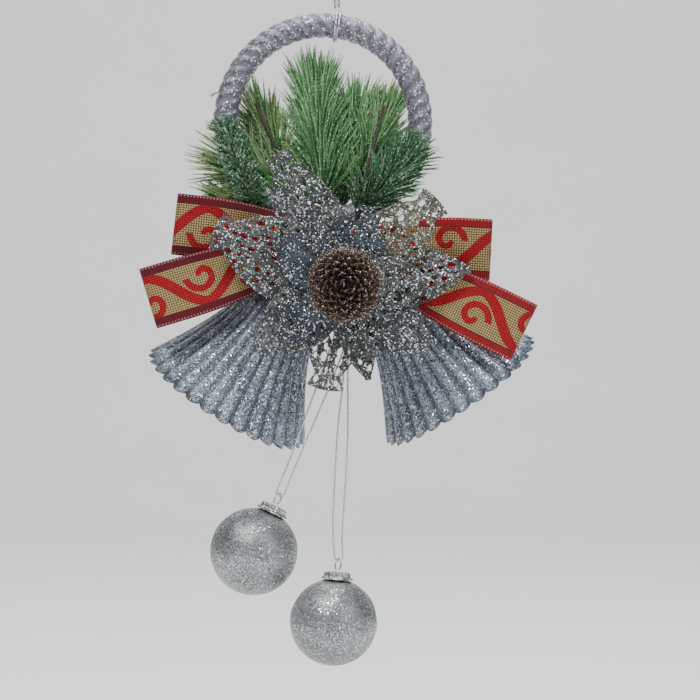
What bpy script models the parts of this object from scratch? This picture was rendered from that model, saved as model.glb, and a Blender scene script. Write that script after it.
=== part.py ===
"""Christmas bell ornament: a hoop with sprigs, a bow, a flower, two bells and two hanging balls.

Frame: the origin is the point where a hook carries the hanger cord. +X is to the right,
+Y is away from the viewer and +Z is up. All sizes are in metres.
"""

import math

import bmesh
import bpy
import numpy as np
from mathutils import Matrix, Vector

MM = 0.001
GAP = 0.3 * MM                     # clearance between pieces that touch

# hanger cord and hoop
HANGER_DROP = 52.0 * MM            # hook point to the top of the hoop
HANGER_CORD_DIAMETER = 1.2 * MM
HITCH_CORD_DIAMETER = 2.0 * MM
HITCH_OFFSET = 6.4 * MM            # the hitch sits this far right of the hoop's centre
HOOP_OUTER_RADIUS = 50.4 * MM
HOOP_TUBE_RADIUS = 5.75 * MM

# bow
RIBBON_WIDTH = 28.0 * MM
RIBBON_THICKNESS = 0.8 * MM
RIBBON_PINCH = 0.42                # width at the knot as a share of the full width
LOOP_HALF_DEPTH = 3.2 * MM         # half the distance between a loop's two layers
KNOT_HALF_WIDTH = 5.0 * MM
KNOT_OVERHANG = 2.6 * MM           # the knot stands past the pinched loops, above and below
BOW_DROP = 5.0 * MM                # bow centre below the hoop's lowest point
LOOP_LEAN = 8.0 * MM               # the lower right loop leans this far over its bell

# flower and cone
FLOWER_DROP = 20.2 * MM            # flower centre below the bow centre
FLOWER_OFFSET = 3.7 * MM
PETAL_THICKNESS = 0.8 * MM
PETAL_STEP = 1.8 * MM              # neighbouring petals lie this far in front of each other
CALYX_RADIUS = 3.6 * MM
CALYX_LENGTH = 14.0 * MM
CONE_RADIUS = 14.7 * MM
CONE_DEPTH = 15.0 * MM
FLOWER_STEM_DIAMETER = 2.0 * MM

# bells
BELL_RIM_RADIUS = 40.8 * MM
BELL_WAIST_RADIUS = 20.0 * MM
BELL_SKIRT_HEIGHT = 45.0 * MM
BELL_CROWN_HEIGHT = 17.5 * MM
BELL_WALL = 1.2 * MM
BELL_FLARE = 1.35                  # how suddenly the skirt opens towards the rim
BELL_FRONT_Y = -28.0 * MM          # how far forward each rim comes
BELL_WIRE_DIAMETER = 1.0 * MM

# balls
BALL_RADIUS = 20.0 * MM
BALL_WALL = 1.2 * MM
NECK_RADIUS = 4.6 * MM
NECK_HEIGHT = 2.2 * MM             # neck above the ball's outside
CAP_WALL = 0.5 * MM
RING_RADIUS = 2.6 * MM
RING_WIRE_DIAMETER = 0.8 * MM
BALL_CORD_DIAMETER = 0.9 * MM

# sprigs
STEM_DIAMETER = 1.6 * MM

HOOP_MEAN_RADIUS = HOOP_OUTER_RADIUS - HOOP_TUBE_RADIUS
HOOP_INNER_RADIUS = HOOP_OUTER_RADIUS - 2 * HOOP_TUBE_RADIUS
HOOP_CENTRE = Vector((-HITCH_OFFSET, 0, -HANGER_DROP - HOOP_OUTER_RADIUS))
HOOP_BOTTOM_Z = HOOP_CENTRE.z - HOOP_OUTER_RADIUS
BOW_CENTRE = Vector((0.5 * MM, 0, HOOP_BOTTOM_Z - BOW_DROP))
FLOWER_CENTRE = Vector((FLOWER_OFFSET, 0, BOW_CENTRE.z - FLOWER_DROP))
KNOT_HEIGHT = RIBBON_WIDTH * RIBBON_PINCH + 2 * KNOT_OVERHANG

# layers, back to front: hoop, stems, upper loops, lower loops, outer petals, inner petals, cone
FRONT_STEM_Y = -(HOOP_TUBE_RADIUS + STEM_DIAMETER / 2 + 2 * GAP)
BACK_LOOPS_Y = FRONT_STEM_Y - STEM_DIAMETER / 2 - GAP - RIBBON_THICKNESS / 2 - LOOP_HALF_DEPTH
FRONT_LOOPS_Y = BACK_LOOPS_Y - 2 * LOOP_HALF_DEPTH - RIBBON_THICKNESS - 2 * GAP
OUTER_PETAL_Y = FRONT_LOOPS_Y - LOOP_HALF_DEPTH - LOOP_LEAN - GAP
INNER_PETAL_Y = OUTER_PETAL_Y - 3 * PETAL_STEP - PETAL_THICKNESS
CALYX_FRONT_Y = INNER_PETAL_Y - 2 * PETAL_STEP - PETAL_THICKNESS

COLLECTION = "christmas_bell_ornament"


def clear_scene():
    """Remove whatever the file holds."""
    for obj in list(bpy.data.objects):
        bpy.data.objects.remove(obj, do_unlink=True)


def make_collection(name):
    """A collection linked to the scene."""
    collection = bpy.data.collections.new(name)
    bpy.context.scene.collection.children.link(collection)
    return collection


def material(name, colour, roughness, metallic):
    """A plain Principled material."""
    mat = bpy.data.materials.new(name)
    mat.use_nodes = True
    shader = mat.node_tree.nodes["Principled BSDF"]
    shader.inputs["Base Color"].default_value = (*colour, 1.0)
    shader.inputs["Roughness"].default_value = roughness
    shader.inputs["Metallic"].default_value = metallic
    return mat


def add_object(name, data, mat, smooth=True):
    """Put a mesh or a curve in the object's collection."""
    obj = bpy.data.objects.new(name, data)
    bpy.data.collections[COLLECTION].objects.link(obj)
    data.materials.append(mat)
    if smooth and isinstance(data, bpy.types.Mesh):
        data.shade_smooth()
    return obj


def solidify(obj, thickness, offset):
    """Give an open surface its wall."""
    wall = obj.modifiers.new("wall", "SOLIDIFY")
    wall.thickness = thickness
    wall.offset = offset
    return wall


def smooth_route(points, samples_per_span):
    """Points along a Catmull-Rom curve through the route's own points."""
    pts = np.array(points, dtype=float)
    padded = np.vstack([2 * pts[0] - pts[1], pts, 2 * pts[-1] - pts[-2]])
    steps = np.linspace(0.0, 1.0, samples_per_span, endpoint=False)
    route = []
    for index in range(1, len(padded) - 2):
        before, here, there, after = padded[index - 1:index + 3]
        for t in steps:
            route.append(0.5 * (2 * here + (there - before) * t
                                + (2 * before - 5 * here + 4 * there - after) * t ** 2
                                + (3 * here - before - 3 * there + after) * t ** 3))
    route.append(pts[-1])
    return route


def tube(name, route, diameter, mat, bevel_resolution=2):
    """A round wire or cord along a list of points, with filled ends."""
    curve = bpy.data.curves.new(name, "CURVE")
    curve.dimensions = "3D"
    curve.bevel_depth = diameter / 2
    curve.bevel_resolution = bevel_resolution
    curve.use_fill_caps = True
    spline = curve.splines.new("POLY")
    spline.points.add(len(route) - 1)
    for point, place in zip(spline.points, route):
        point.co = (*place, 1.0)
    return add_object(name, curve, mat)


def turned(name, profile, steps, mat, wall=None):
    """A profile of (radius, height) turned about Z, top to bottom, with an optional inner wall."""
    mesh = bpy.data.meshes.new(name)
    vertices = [(radius, 0.0, height) for radius, height in profile]
    edges = [(index, index + 1) for index in range(len(profile) - 1)]
    mesh.from_pydata(vertices, edges, [])
    obj = add_object(name, mesh, mat)
    screw = obj.modifiers.new("turn", "SCREW")
    screw.steps = steps
    screw.render_steps = steps
    screw.use_merge_vertices = True
    screw.merge_threshold = 0.00001
    screw.use_smooth_shade = True
    if wall:
        solidify(obj, wall, -1.0)
    return obj


def torus(name, major, minor, major_segments, minor_segments, mat):
    """A ring about Z."""
    bpy.ops.mesh.primitive_torus_add(major_radius=major, minor_radius=minor,
                                     major_segments=major_segments, minor_segments=minor_segments)
    source = bpy.context.object
    mesh = source.data
    bpy.data.objects.remove(source, do_unlink=True)
    return add_object(name, mesh, mat)


def sheet_mesh(name, columns, rows, place):
    """A grid whose point (u, v), both from 0 to 1, lies at place(u, v)."""
    bm = bmesh.new()
    bmesh.ops.create_grid(bm, x_segments=columns, y_segments=rows, size=0.5)
    for vertex in bm.verts:
        vertex.co = place(vertex.co.x + 0.5, vertex.co.y + 0.5)
    mesh = bpy.data.meshes.new(name)
    bm.to_mesh(mesh)
    bm.free()
    return mesh


def frame_matrix(origin, up):
    """A placement whose local Z runs along up, with local Y towards the back."""
    z_axis = Vector(up).normalized()
    x_axis = Vector((0, 1, 0)).cross(z_axis).normalized()
    y_axis = z_axis.cross(x_axis)
    turn = Matrix((x_axis, y_axis, z_axis)).transposed().to_4x4()
    return Matrix.Translation(origin) @ turn


# ---------------------------------------------------------------- hanger and hoop

def hitch_point():
    """Centre of the hoop's tube under the hanger cord, and the tube's direction there."""
    angle = math.asin(HITCH_OFFSET / HOOP_MEAN_RADIUS)
    centre = HOOP_CENTRE + HOOP_MEAN_RADIUS * Vector((math.sin(angle), 0, math.cos(angle)))
    tangent = Vector((math.cos(angle), 0, -math.sin(angle)))
    return centre, tangent


def build_hoop():
    """The moulded rope hoop."""
    silver = material("hoop_silver", (0.42, 0.42, 0.48), 0.3, 0.6)
    hoop = torus("hoop", HOOP_MEAN_RADIUS, HOOP_TUBE_RADIUS, 40, 10, silver)
    hoop.location = HOOP_CENTRE
    hoop.rotation_euler = (math.pi / 2, 0, 0)


def build_hanger():
    """The hitch turned round the hoop, and the cord loop above it."""
    thread = material("hanger_thread", (0.5, 0.48, 0.56), 0.5, 0.0)
    centre, tangent = hitch_point()
    turn_radius = HOOP_TUBE_RADIUS + GAP + HITCH_CORD_DIAMETER / 2
    hitch = torus("hanger_hitch", turn_radius, HITCH_CORD_DIAMETER / 2, 16, 6, thread)
    hitch.matrix_world = frame_matrix(centre, tangent)
    foot = centre.z + turn_radius + HITCH_CORD_DIAMETER / 2 + GAP
    # one strand goes up to the hook and the other comes back down
    route = [(-0.8 * MM, 0, foot),
             (-0.9 * MM, 0, -40 * MM),
             (-1.9 * MM, 0, -26 * MM),
             (-3.0 * MM, 0, -12 * MM),
             (-3.1 * MM, 0, -4.2 * MM),
             (-2.2 * MM, 0, -0.8 * MM),
             (0, 0, 0.6 * MM),
             (2.2 * MM, 0, -0.8 * MM),
             (3.1 * MM, 0, -4.2 * MM),
             (3.0 * MM, 0, -12 * MM),
             (1.9 * MM, 0, -26 * MM),
             (0.9 * MM, 0, -40 * MM),
             (0.8 * MM, 0, foot)]
    tube("hanger_cord", smooth_route(route, 2), HANGER_CORD_DIAMETER, thread)


def build_binding_wire():
    """Wire wrapped round the foot of the hoop, which holds everything that hangs below."""
    wire = material("binding_green", (0.08, 0.16, 0.08), 0.5, 0.3)
    turns = 3
    pitch = 1.7 * MM
    steps_per_turn = 10
    radius = HOOP_TUBE_RADIUS + 2 * GAP + 0.5 * MM
    start_angle = 2.5 * MM / HOOP_MEAN_RADIUS
    route = []
    for step in range(turns * steps_per_turn + 1):
        along = start_angle + step / steps_per_turn * pitch / HOOP_MEAN_RADIUS
        around = 2 * math.pi * step / steps_per_turn
        outwards = Vector((math.sin(along), 0, -math.cos(along)))
        middle = HOOP_CENTRE + HOOP_MEAN_RADIUS * outwards
        route.append(middle + radius * (math.cos(around) * outwards
                                        + math.sin(around) * Vector((0, 1, 0))))
    tube("binding_wire", route, 1.0 * MM, wire, 1)


# ---------------------------------------------------------------- sprigs

def build_sprigs():
    """Three bottle-brush sprigs: a bare twisted stem below, and the needles in one soft solid."""
    stem_mat = material("stem_brown", (0.10, 0.08, 0.06), 0.7, 0.0)
    needle_mat = material("needle_green", (0.05, 0.22, 0.08), 0.5, 0.0)
    foot_z = HOOP_BOTTOM_Z - 1.5 * MM
    rise = HOOP_INNER_RADIUS
    behind = HOOP_TUBE_RADIUS + 3.2 * MM
    in_front = FRONT_STEM_Y - GAP - 0.4 * MM
    # side, depth of the needles, stem foot (x, y), needle base and tip (x, share of rise), half sizes
    sprigs = (
        ("left", behind, (-12 * MM, behind), (-21 * MM, -0.74), (-43 * MM, 0.42), (17 * MM, 2.6 * MM)),
        ("centre", 0.0, (-5 * MM, 0.0), (-6.4 * MM, -0.82), (-10 * MM, 0.55), (11 * MM, 4.4 * MM)),
        ("right", in_front, (8 * MM, FRONT_STEM_Y), (11 * MM, -0.72), (25 * MM, 0.55), (17 * MM, 1.6 * MM)),
    )
    for side, y, foot, base, tip, (half_width, half_depth) in sprigs:
        base_point = Vector((base[0], y, HOOP_CENTRE.z + base[1] * rise))
        tip_point = Vector((tip[0], y, HOOP_CENTRE.z + tip[1] * rise))
        axis = tip_point - base_point
        bpy.ops.mesh.primitive_uv_sphere_add(segments=16, ring_count=8, radius=1.0)
        source = bpy.context.object
        mesh = source.data
        bpy.data.objects.remove(source, do_unlink=True)
        scale = Matrix.Diagonal((half_width, half_depth, axis.length / 2, 1.0))
        mesh.transform(scale)
        needles = add_object("sprig_needles_" + side, mesh, needle_mat)
        needles.matrix_world = frame_matrix((base_point + tip_point) / 2, axis)
        stem_top = base_point - axis.normalized() * (GAP + 0.5 * MM)
        if side == "centre":
            stem_foot = Vector((*foot, HOOP_CENTRE.z - HOOP_INNER_RADIUS + 2 * GAP))
            route = [stem_foot, (stem_foot + stem_top) / 2, stem_top]
        else:
            stem_foot = Vector((*foot, foot_z))
            route = [stem_foot, stem_foot.lerp(stem_top, 0.4), stem_foot.lerp(stem_top, 0.75), stem_top]
            route[1].y = foot[1]
        tube("sprig_stem_" + side, smooth_route(route, 2), STEM_DIAMETER, stem_mat)


# ---------------------------------------------------------------- bow

def ribbon_loop(name, length, angle, start_y, end_y, mat):
    """One flattened loop of ribbon, from the knot to its outer fold and back."""
    half_turn = LOOP_HALF_DEPTH
    corner = 0.5 * RIBBON_WIDTH * RIBBON_PINCH * abs(math.sin(angle))
    start = (KNOT_HALF_WIDTH + corner) / abs(math.cos(angle)) + GAP
    straight = length - half_turn - start
    turn_length = math.pi * half_turn
    total = 2 * straight + turn_length
    along = Vector((math.cos(angle), 0, math.sin(angle)))
    across = Vector((-math.sin(angle), 0, math.cos(angle)))

    def place(u, v):
        run = u * total
        if run < straight:
            reach, depth = start + run, half_turn
        elif run > straight + turn_length:
            reach, depth = start + total - run, -half_turn
        else:
            bend = (run - straight) / half_turn
            reach = start + straight + half_turn * math.sin(bend)
            depth = half_turn * math.cos(bend)
        share = (reach - start) / (length - start)
        pinch = RIBBON_PINCH + (1 - RIBBON_PINCH) * math.sin(0.5 * math.pi * min(1.0, 1.25 * share))
        middle_y = start_y + (end_y - start_y) * share
        return (BOW_CENTRE + along * reach + across * (v - 0.5) * RIBBON_WIDTH * pinch
                + Vector((0, middle_y + depth, 0)))

    loop = add_object(name, sheet_mesh(name, 18, 1, place), mat)
    solidify(loop, RIBBON_THICKNESS, 0.0)


def build_bow():
    """Four loops and the wrapped knot between them."""
    ribbon = material("ribbon_red", (0.45, 0.05, 0.04), 0.6, 0.1)
    forward = FRONT_LOOPS_Y - LOOP_LEAN
    ribbon_loop("ribbon_loop_upper_left", 74.9 * MM, math.radians(173.6), BACK_LOOPS_Y, BACK_LOOPS_Y, ribbon)
    ribbon_loop("ribbon_loop_lower_left", 89.8 * MM, math.radians(196.8), FRONT_LOOPS_Y,
                FRONT_LOOPS_Y - 1.0 * MM, ribbon)
    ribbon_loop("ribbon_loop_upper_right", 69.8 * MM, math.radians(-3.0), BACK_LOOPS_Y, BACK_LOOPS_Y, ribbon)
    ribbon_loop("ribbon_loop_lower_right", 93.6 * MM, math.radians(-26.3), FRONT_LOOPS_Y, forward, ribbon)

    back = BACK_LOOPS_Y + LOOP_HALF_DEPTH
    front = FRONT_LOOPS_Y - LOOP_HALF_DEPTH
    bm = bmesh.new()
    bmesh.ops.create_cube(bm, size=1.0)
    size = Matrix.Diagonal((2 * (KNOT_HALF_WIDTH - GAP), back - front, KNOT_HEIGHT, 1.0))
    bmesh.ops.transform(bm, matrix=size, verts=bm.verts)
    mesh = bpy.data.meshes.new("bow_knot")
    bm.to_mesh(mesh)
    bm.free()
    knot = add_object("bow_knot", mesh, ribbon)
    knot.location = BOW_CENTRE + Vector((0, (back + front) / 2, 0))
    rounding = knot.modifiers.new("rounding", "BEVEL")
    rounding.width = 2.0 * MM
    rounding.segments = 3


# ---------------------------------------------------------------- flower

def petal(name, angle_degrees, length, width, y, lift, mat):
    """One leaf-shaped petal, pointing away from the flower's centre and bending by lift at its tip."""
    angle = math.radians(angle_degrees)
    along = Vector((math.cos(angle), 0, math.sin(angle)))
    across = Vector((-math.sin(angle), 0, math.cos(angle)))
    start = CALYX_RADIUS + GAP + 0.3 * MM
    tip_width = 1.6 * MM

    def place(u, v):
        swell = math.sin(math.pi * u ** 0.85) ** 0.8
        half = 0.5 * (tip_width + (width - tip_width) * max(swell, 0.0))
        return (FLOWER_CENTRE + along * (start + u * (length - start))
                + across * (2 * v - 1) * half + Vector((0, y + lift * u ** 2, 0)))

    leaf = add_object(name, sheet_mesh(name, 6, 2, place), mat)
    solidify(leaf, PETAL_THICKNESS, 0.0)


def build_flower():
    """Eight open-work outer petals, five inner ones, the calyx, its wire stem and the cone."""
    lace = material("petal_silver", (0.55, 0.56, 0.6), 0.35, 0.5)
    # angle, length, width, layer
    outer = ((8, 56, 26, 0), (42, 53, 27, 1), (117, 67, 27, 0), (152, 64, 27, 1),
             (215, 47, 26, 2), (258, 47, 22, 0), (284, 42, 15, 1), (322, 45, 26, 2))
    for index, (angle, length, width, layer) in enumerate(outer):
        y = OUTER_PETAL_Y - PETAL_STEP * layer
        petal("petal_outer_%d" % (index + 1), angle, length * MM, width * MM, y, 0.0, lace)
    inner = ((75, 36, 21, 0), (3, 36, 21, 1), (291, 34, 21, 0), (219, 36, 21, 1), (147, 36, 21, 2))
    for index, (angle, length, width, layer) in enumerate(inner):
        y = INNER_PETAL_Y - PETAL_STEP * layer
        petal("petal_inner_%d" % (index + 1), angle, length * MM, width * MM, y, 0.0, lace)

    green = material("calyx_green", (0.12, 0.2, 0.12), 0.6, 0.0)
    calyx = turned("flower_calyx", [(0.0, 0.0), (CALYX_RADIUS, 0.0), (CALYX_RADIUS, -CALYX_LENGTH),
                                    (0.0, -CALYX_LENGTH)], 20, green)
    calyx.location = FLOWER_CENTRE + Vector((0, CALYX_FRONT_Y, 0))
    calyx.rotation_euler = (math.pi / 2, 0, 0)

    cone_mat = material("cone_brown", (0.12, 0.08, 0.06), 0.7, 0.0)
    bpy.ops.mesh.primitive_uv_sphere_add(segments=24, ring_count=12, radius=1.0)
    source = bpy.context.object
    mesh = source.data
    bpy.data.objects.remove(source, do_unlink=True)
    mesh.transform(Matrix.Diagonal((CONE_RADIUS, CONE_DEPTH / 2, CONE_RADIUS, 1.0)))
    cone = add_object("pine_cone", mesh, cone_mat)
    cone.location = FLOWER_CENTRE + Vector((0, CALYX_FRONT_Y - GAP - CONE_DEPTH / 2, 0))

    stem_mat = material("stem_green", (0.1, 0.2, 0.1), 0.6, 0.0)
    back_y = CALYX_FRONT_Y + CALYX_LENGTH + GAP
    top_z = HOOP_BOTTOM_Z - GAP - FLOWER_STEM_DIAMETER / 2
    route = [FLOWER_CENTRE + Vector((0, back_y, 0)),
             FLOWER_CENTRE + Vector((0, back_y + 9 * MM, 0.3 * MM)),
             FLOWER_CENTRE + Vector((-0.4 * MM, -6 * MM, 1.0 * MM)),
             FLOWER_CENTRE + Vector((-1.2 * MM, -1.5 * MM, 5.0 * MM)),
             Vector((BOW_CENTRE.x, 0, (FLOWER_CENTRE.z + top_z) / 2)),
             Vector((BOW_CENTRE.x - 0.5 * MM, 0, top_z - 0.3 * MM))]
    tube("flower_stem", smooth_route(route, 4), FLOWER_STEM_DIAMETER, stem_mat)


# ---------------------------------------------------------------- bells

def bell_profile():
    """(radius, height above the rim), crown first: a quarter ellipse, then the flaring skirt."""
    profile = []
    for step in range(5):
        turn = math.pi / 2 * (1 - step / 5)
        profile.append((BELL_WAIST_RADIUS * math.cos(turn),
                        BELL_SKIRT_HEIGHT + BELL_CROWN_HEIGHT * math.sin(turn)))
    profile[0] = (0.0, BELL_SKIRT_HEIGHT + BELL_CROWN_HEIGHT)
    for step in range(7):
        height = BELL_SKIRT_HEIGHT * (1 - step / 6)
        flare = (1 - height / BELL_SKIRT_HEIGHT) ** BELL_FLARE
        profile.append((BELL_WAIST_RADIUS + (BELL_RIM_RADIUS - BELL_WAIST_RADIUS) * flare, height))
    return profile


def build_bell(side, inner_edge, lean, turn_away, wire_top):
    """One bell: its rim's inner edge is fixed, it leans outwards, and its mouth turns to the back."""
    silver = material("bell_silver_" + side, (0.5, 0.53, 0.6), 0.35, 0.7)
    sign = -1.0 if side == "left" else 1.0
    mouth = Vector((sign * math.sin(lean) * math.cos(turn_away), math.sin(turn_away),
                    -math.cos(lean) * math.cos(turn_away)))
    outwards = Vector((sign * math.cos(lean), 0, math.sin(lean)))
    rim_centre = FLOWER_CENTRE + inner_edge + outwards * BELL_RIM_RADIUS
    rim_centre.y = BELL_FRONT_Y + BELL_RIM_RADIUS * math.cos(turn_away)
    bell = turned("bell_" + side, bell_profile(), 32, silver, BELL_WALL)
    bell.matrix_world = frame_matrix(rim_centre, -mouth)

    apex = rim_centre - mouth * (BELL_SKIRT_HEIGHT + BELL_CROWN_HEIGHT)
    wire = material("bell_wire_" + side, (0.1, 0.18, 0.1), 0.5, 0.3)
    foot = apex - mouth * (GAP + BELL_WIRE_DIAMETER / 2)
    top = Vector((BOW_CENTRE.x + wire_top, 3.2 * MM, HOOP_BOTTOM_Z - GAP - BELL_WIRE_DIAMETER / 2))
    bend = foot.lerp(top, 0.5) - mouth * 2.0 * MM
    tube("bell_wire_" + side, smooth_route([foot, bend, top], 5), BELL_WIRE_DIAMETER, wire)


def build_bells():
    """The pair of bells."""
    build_bell("left", Vector((-19.8 * MM, 0, -72.2 * MM)), math.radians(32.0), math.radians(14.0), -4.5 * MM)
    build_bell("right", Vector((19.9 * MM, 0, -71.2 * MM)), math.radians(35.6), math.radians(11.0), 4.5 * MM)


# ---------------------------------------------------------------- balls

RING_CENTRE_RISE = NECK_HEIGHT + CAP_WALL + 1.3 * MM + RING_RADIUS


def build_ball(side, ring_top, tilt_degrees):
    """A ball hanging by its ring: hollow ball with a neck, crown cap and wire ring."""
    glitter = material("ball_silver_" + side, (0.55, 0.57, 0.6), 0.3, 0.7)
    crown = material("cap_silver_" + side, (0.7, 0.7, 0.72), 0.25, 0.9)
    steel = material("ring_steel_" + side, (0.6, 0.6, 0.62), 0.3, 1.0)
    tilt = math.radians(tilt_degrees)
    up = Vector((math.sin(tilt), 0, math.cos(tilt)))
    ring_centre = ring_top - up * (RING_RADIUS + RING_WIRE_DIAMETER / 2)
    centre = ring_centre - up * (BALL_RADIUS + RING_CENTRE_RISE)
    placement = frame_matrix(centre, up)

    neck_foot = math.asin(NECK_RADIUS / BALL_RADIUS)
    profile = [(NECK_RADIUS, BALL_RADIUS + NECK_HEIGHT)]
    rings = 11
    for step in range(rings):
        angle = neck_foot + (math.pi - neck_foot) * step / (rings - 1)
        profile.append((BALL_RADIUS * math.sin(angle), BALL_RADIUS * math.cos(angle)))
    profile[-1] = (0.0, -BALL_RADIUS)
    ball = turned("ball_" + side, profile, 22, glitter, BALL_WALL)
    ball.matrix_world = placement

    inner = NECK_RADIUS + GAP + CAP_WALL
    top = BALL_RADIUS + NECK_HEIGHT + GAP + CAP_WALL
    skirt = inner + 1.0 * MM
    seat = math.sqrt(BALL_RADIUS ** 2 - (skirt - CAP_WALL) ** 2) + GAP + 0.25 * MM
    cap = turned("ball_cap_" + side, [(0.0, top), (inner - 0.5 * MM, top), (inner, top - 0.5 * MM),
                                      (inner, seat + 0.9 * MM), (skirt, seat)], 18, crown, CAP_WALL)
    cap.matrix_world = placement

    ring = torus("ball_ring_" + side, RING_RADIUS, RING_WIRE_DIAMETER / 2, 18, 6, steel)
    ring.matrix_world = frame_matrix(ring_centre, (math.cos(tilt), 0, -math.sin(tilt)))


def hairpin(ring_top, tilt_degrees, y):
    """Centre line of a cord's turn through a ring: five points of a half circle, left to right."""
    tilt = math.radians(tilt_degrees)
    up = Vector((math.sin(tilt), 0, math.cos(tilt)))
    side = Vector((math.cos(tilt), 0, -math.sin(tilt)))
    bend = 2.0 * BALL_CORD_DIAMETER
    lowest = ring_top - up * (RING_WIRE_DIAMETER + GAP + BALL_CORD_DIAMETER / 2)
    middle = lowest + up * bend
    points = []
    for step in range(5):
        turn = math.pi * step / 4
        points.append(middle - side * bend * math.cos(turn) - up * bend * math.sin(turn))
    return [Vector((point.x, y, point.z)) for point in points]


def build_balls():
    """Both balls, and the looped cords that they hang on."""
    silver_cord = material("ball_cord_silver", (0.6, 0.6, 0.62), 0.4, 0.5)
    drop = FLOWER_CENTRE.z
    left_y = -8.5 * MM
    right_y = -5.0 * MM
    left_top = Vector((-25.7 * MM, left_y, drop - 94.2 * MM))
    right_top = Vector((0.8 * MM, right_y, drop - 124.2 * MM))
    build_ball("left", left_top, 24.5)
    build_ball("right", right_top, 4.5)

    left_route = ([Vector((5.9 * MM, left_y, drop - 3.6 * MM)),
                   Vector((-1.6 * MM, left_y, drop - 24 * MM)),
                   Vector((-9.0 * MM, left_y, drop - 45.1 * MM)),
                   Vector((-20.9 * MM, left_y, drop - 77.3 * MM))]
                  + hairpin(left_top, 20.5, left_y)
                  + [Vector((-16.9 * MM, left_y, drop - 77.5 * MM)),
                     Vector((-2.4 * MM, left_y, drop - 43.3 * MM)),
                     Vector((5.3 * MM, left_y, drop - 22 * MM)),
                     Vector((9.3 * MM, left_y, drop - 3.6 * MM))])
    tube("ball_cord_left", smooth_route(left_route, 3), BALL_CORD_DIAMETER, silver_cord)

    right_route = ([Vector((4.2 * MM, right_y, drop - 3.6 * MM)),
                    Vector((3.0 * MM, right_y, drop - 39.6 * MM)),
                    Vector((0.2 * MM, right_y, drop - 68 * MM)),
                    Vector((-1.5 * MM, right_y, drop - 100 * MM)),
                    Vector((-1.7 * MM, right_y, drop - 114 * MM))]
                   + hairpin(right_top, 3.0, right_y)
                   + [Vector((2.4 * MM, right_y, drop - 114 * MM)),
                      Vector((3.4 * MM, right_y, drop - 98 * MM)),
                      Vector((4.9 * MM, right_y, drop - 70 * MM)),
                      Vector((5.0 * MM, right_y, drop - 39.6 * MM)),
                      Vector((5.6 * MM, right_y, drop - 3.6 * MM))])
    tube("ball_cord_right", smooth_route(right_route, 2), BALL_CORD_DIAMETER, silver_cord)


def main():
    """Build every piece."""
    clear_scene()
    make_collection(COLLECTION)
    build_hoop()
    build_hanger()
    build_binding_wire()
    build_sprigs()
    build_bow()
    build_flower()
    build_bells()
    build_balls()


main()
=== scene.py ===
# %% [markdown]
# # A hanging bell ornament
# Two fluted bells, two glitter balls on cords, a lace flower with a pine cone, a ribbon bow and
# three pine sprigs all hang from one rope-covered hoop. The CAD model fixes where every part is
# and how it swings. This notebook gives each part its real surface and finish.

# %% Load the frame
import math

import bmesh
import bpy
import numpy as np
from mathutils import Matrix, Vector


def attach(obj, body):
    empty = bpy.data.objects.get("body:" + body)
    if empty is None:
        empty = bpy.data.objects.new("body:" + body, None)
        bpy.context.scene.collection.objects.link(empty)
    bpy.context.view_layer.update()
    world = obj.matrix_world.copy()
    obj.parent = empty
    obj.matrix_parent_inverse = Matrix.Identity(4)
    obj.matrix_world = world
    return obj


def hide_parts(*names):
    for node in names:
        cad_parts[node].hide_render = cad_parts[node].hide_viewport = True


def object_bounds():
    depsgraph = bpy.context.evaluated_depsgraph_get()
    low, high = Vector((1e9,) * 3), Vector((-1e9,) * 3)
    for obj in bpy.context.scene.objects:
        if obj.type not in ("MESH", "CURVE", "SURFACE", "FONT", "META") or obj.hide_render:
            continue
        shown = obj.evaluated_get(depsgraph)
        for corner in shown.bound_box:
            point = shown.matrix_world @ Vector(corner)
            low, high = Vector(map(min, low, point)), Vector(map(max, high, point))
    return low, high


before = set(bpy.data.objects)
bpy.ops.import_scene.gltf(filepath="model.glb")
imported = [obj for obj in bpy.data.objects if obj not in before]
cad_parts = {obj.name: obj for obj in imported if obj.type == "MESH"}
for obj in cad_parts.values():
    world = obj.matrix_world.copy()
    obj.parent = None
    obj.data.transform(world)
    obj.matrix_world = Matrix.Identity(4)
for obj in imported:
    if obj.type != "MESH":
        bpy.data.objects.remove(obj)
cad_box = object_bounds()
MM = 0.001

# %% [markdown]
# ## Camera
# The ornament is seen straight on from about a metre and a half, so a long lens keeps its
# outlines almost parallel. The view is a square of 322 mm at the ornament's own depth.

# %% Camera
VIEW_CENTRE = Vector((6.0, 0.0, -207.0)) * MM
VIEW_WIDTH = 322 * MM
CAMERA_DISTANCE = 1.5
camera_data = bpy.data.cameras.new("camera")
camera_data.sensor_width = 36.0
camera_data.lens = camera_data.sensor_width * CAMERA_DISTANCE / VIEW_WIDTH
camera = bpy.data.objects.new("camera", camera_data)
camera.location = VIEW_CENTRE + Vector((0.0, -CAMERA_DISTANCE, 0.0))
camera.rotation_euler = (math.radians(90.0), 0.0, 0.0)
bpy.context.scene.collection.objects.link(camera)
bpy.context.scene.camera = camera
print("lens", round(camera_data.lens, 1), "mm")

# %% [markdown]
# ## From a grid of points to a mesh
# A surface here is a grid of points: rows run one way, columns the other, and each cell is one
# four-sided face. Working on the whole grid at once with numpy is quick, and one helper turns any
# grid into a mesh. Grids that close on themselves repeat their first row or column.

# %% Grid to mesh
def unit(vectors):
    """Vectors of length one, in the same directions."""
    return vectors / np.linalg.norm(vectors, axis=-1, keepdims=True)


def grid_faces(rows, columns, loop_rows=False, loop_columns=False):
    """Four corners for each cell, as (row, column) numbers that run past the end where a side closes."""
    row, column = np.meshgrid(np.arange(rows - 1 + loop_rows), np.arange(columns - 1 + loop_columns),
                              indexing="ij")
    row = np.stack([row, row, row + 1, row + 1], axis=-1).reshape(-1, 4)
    column = np.stack([column, column + 1, column + 1, column], axis=-1).reshape(-1, 4)
    return row, column


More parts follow.
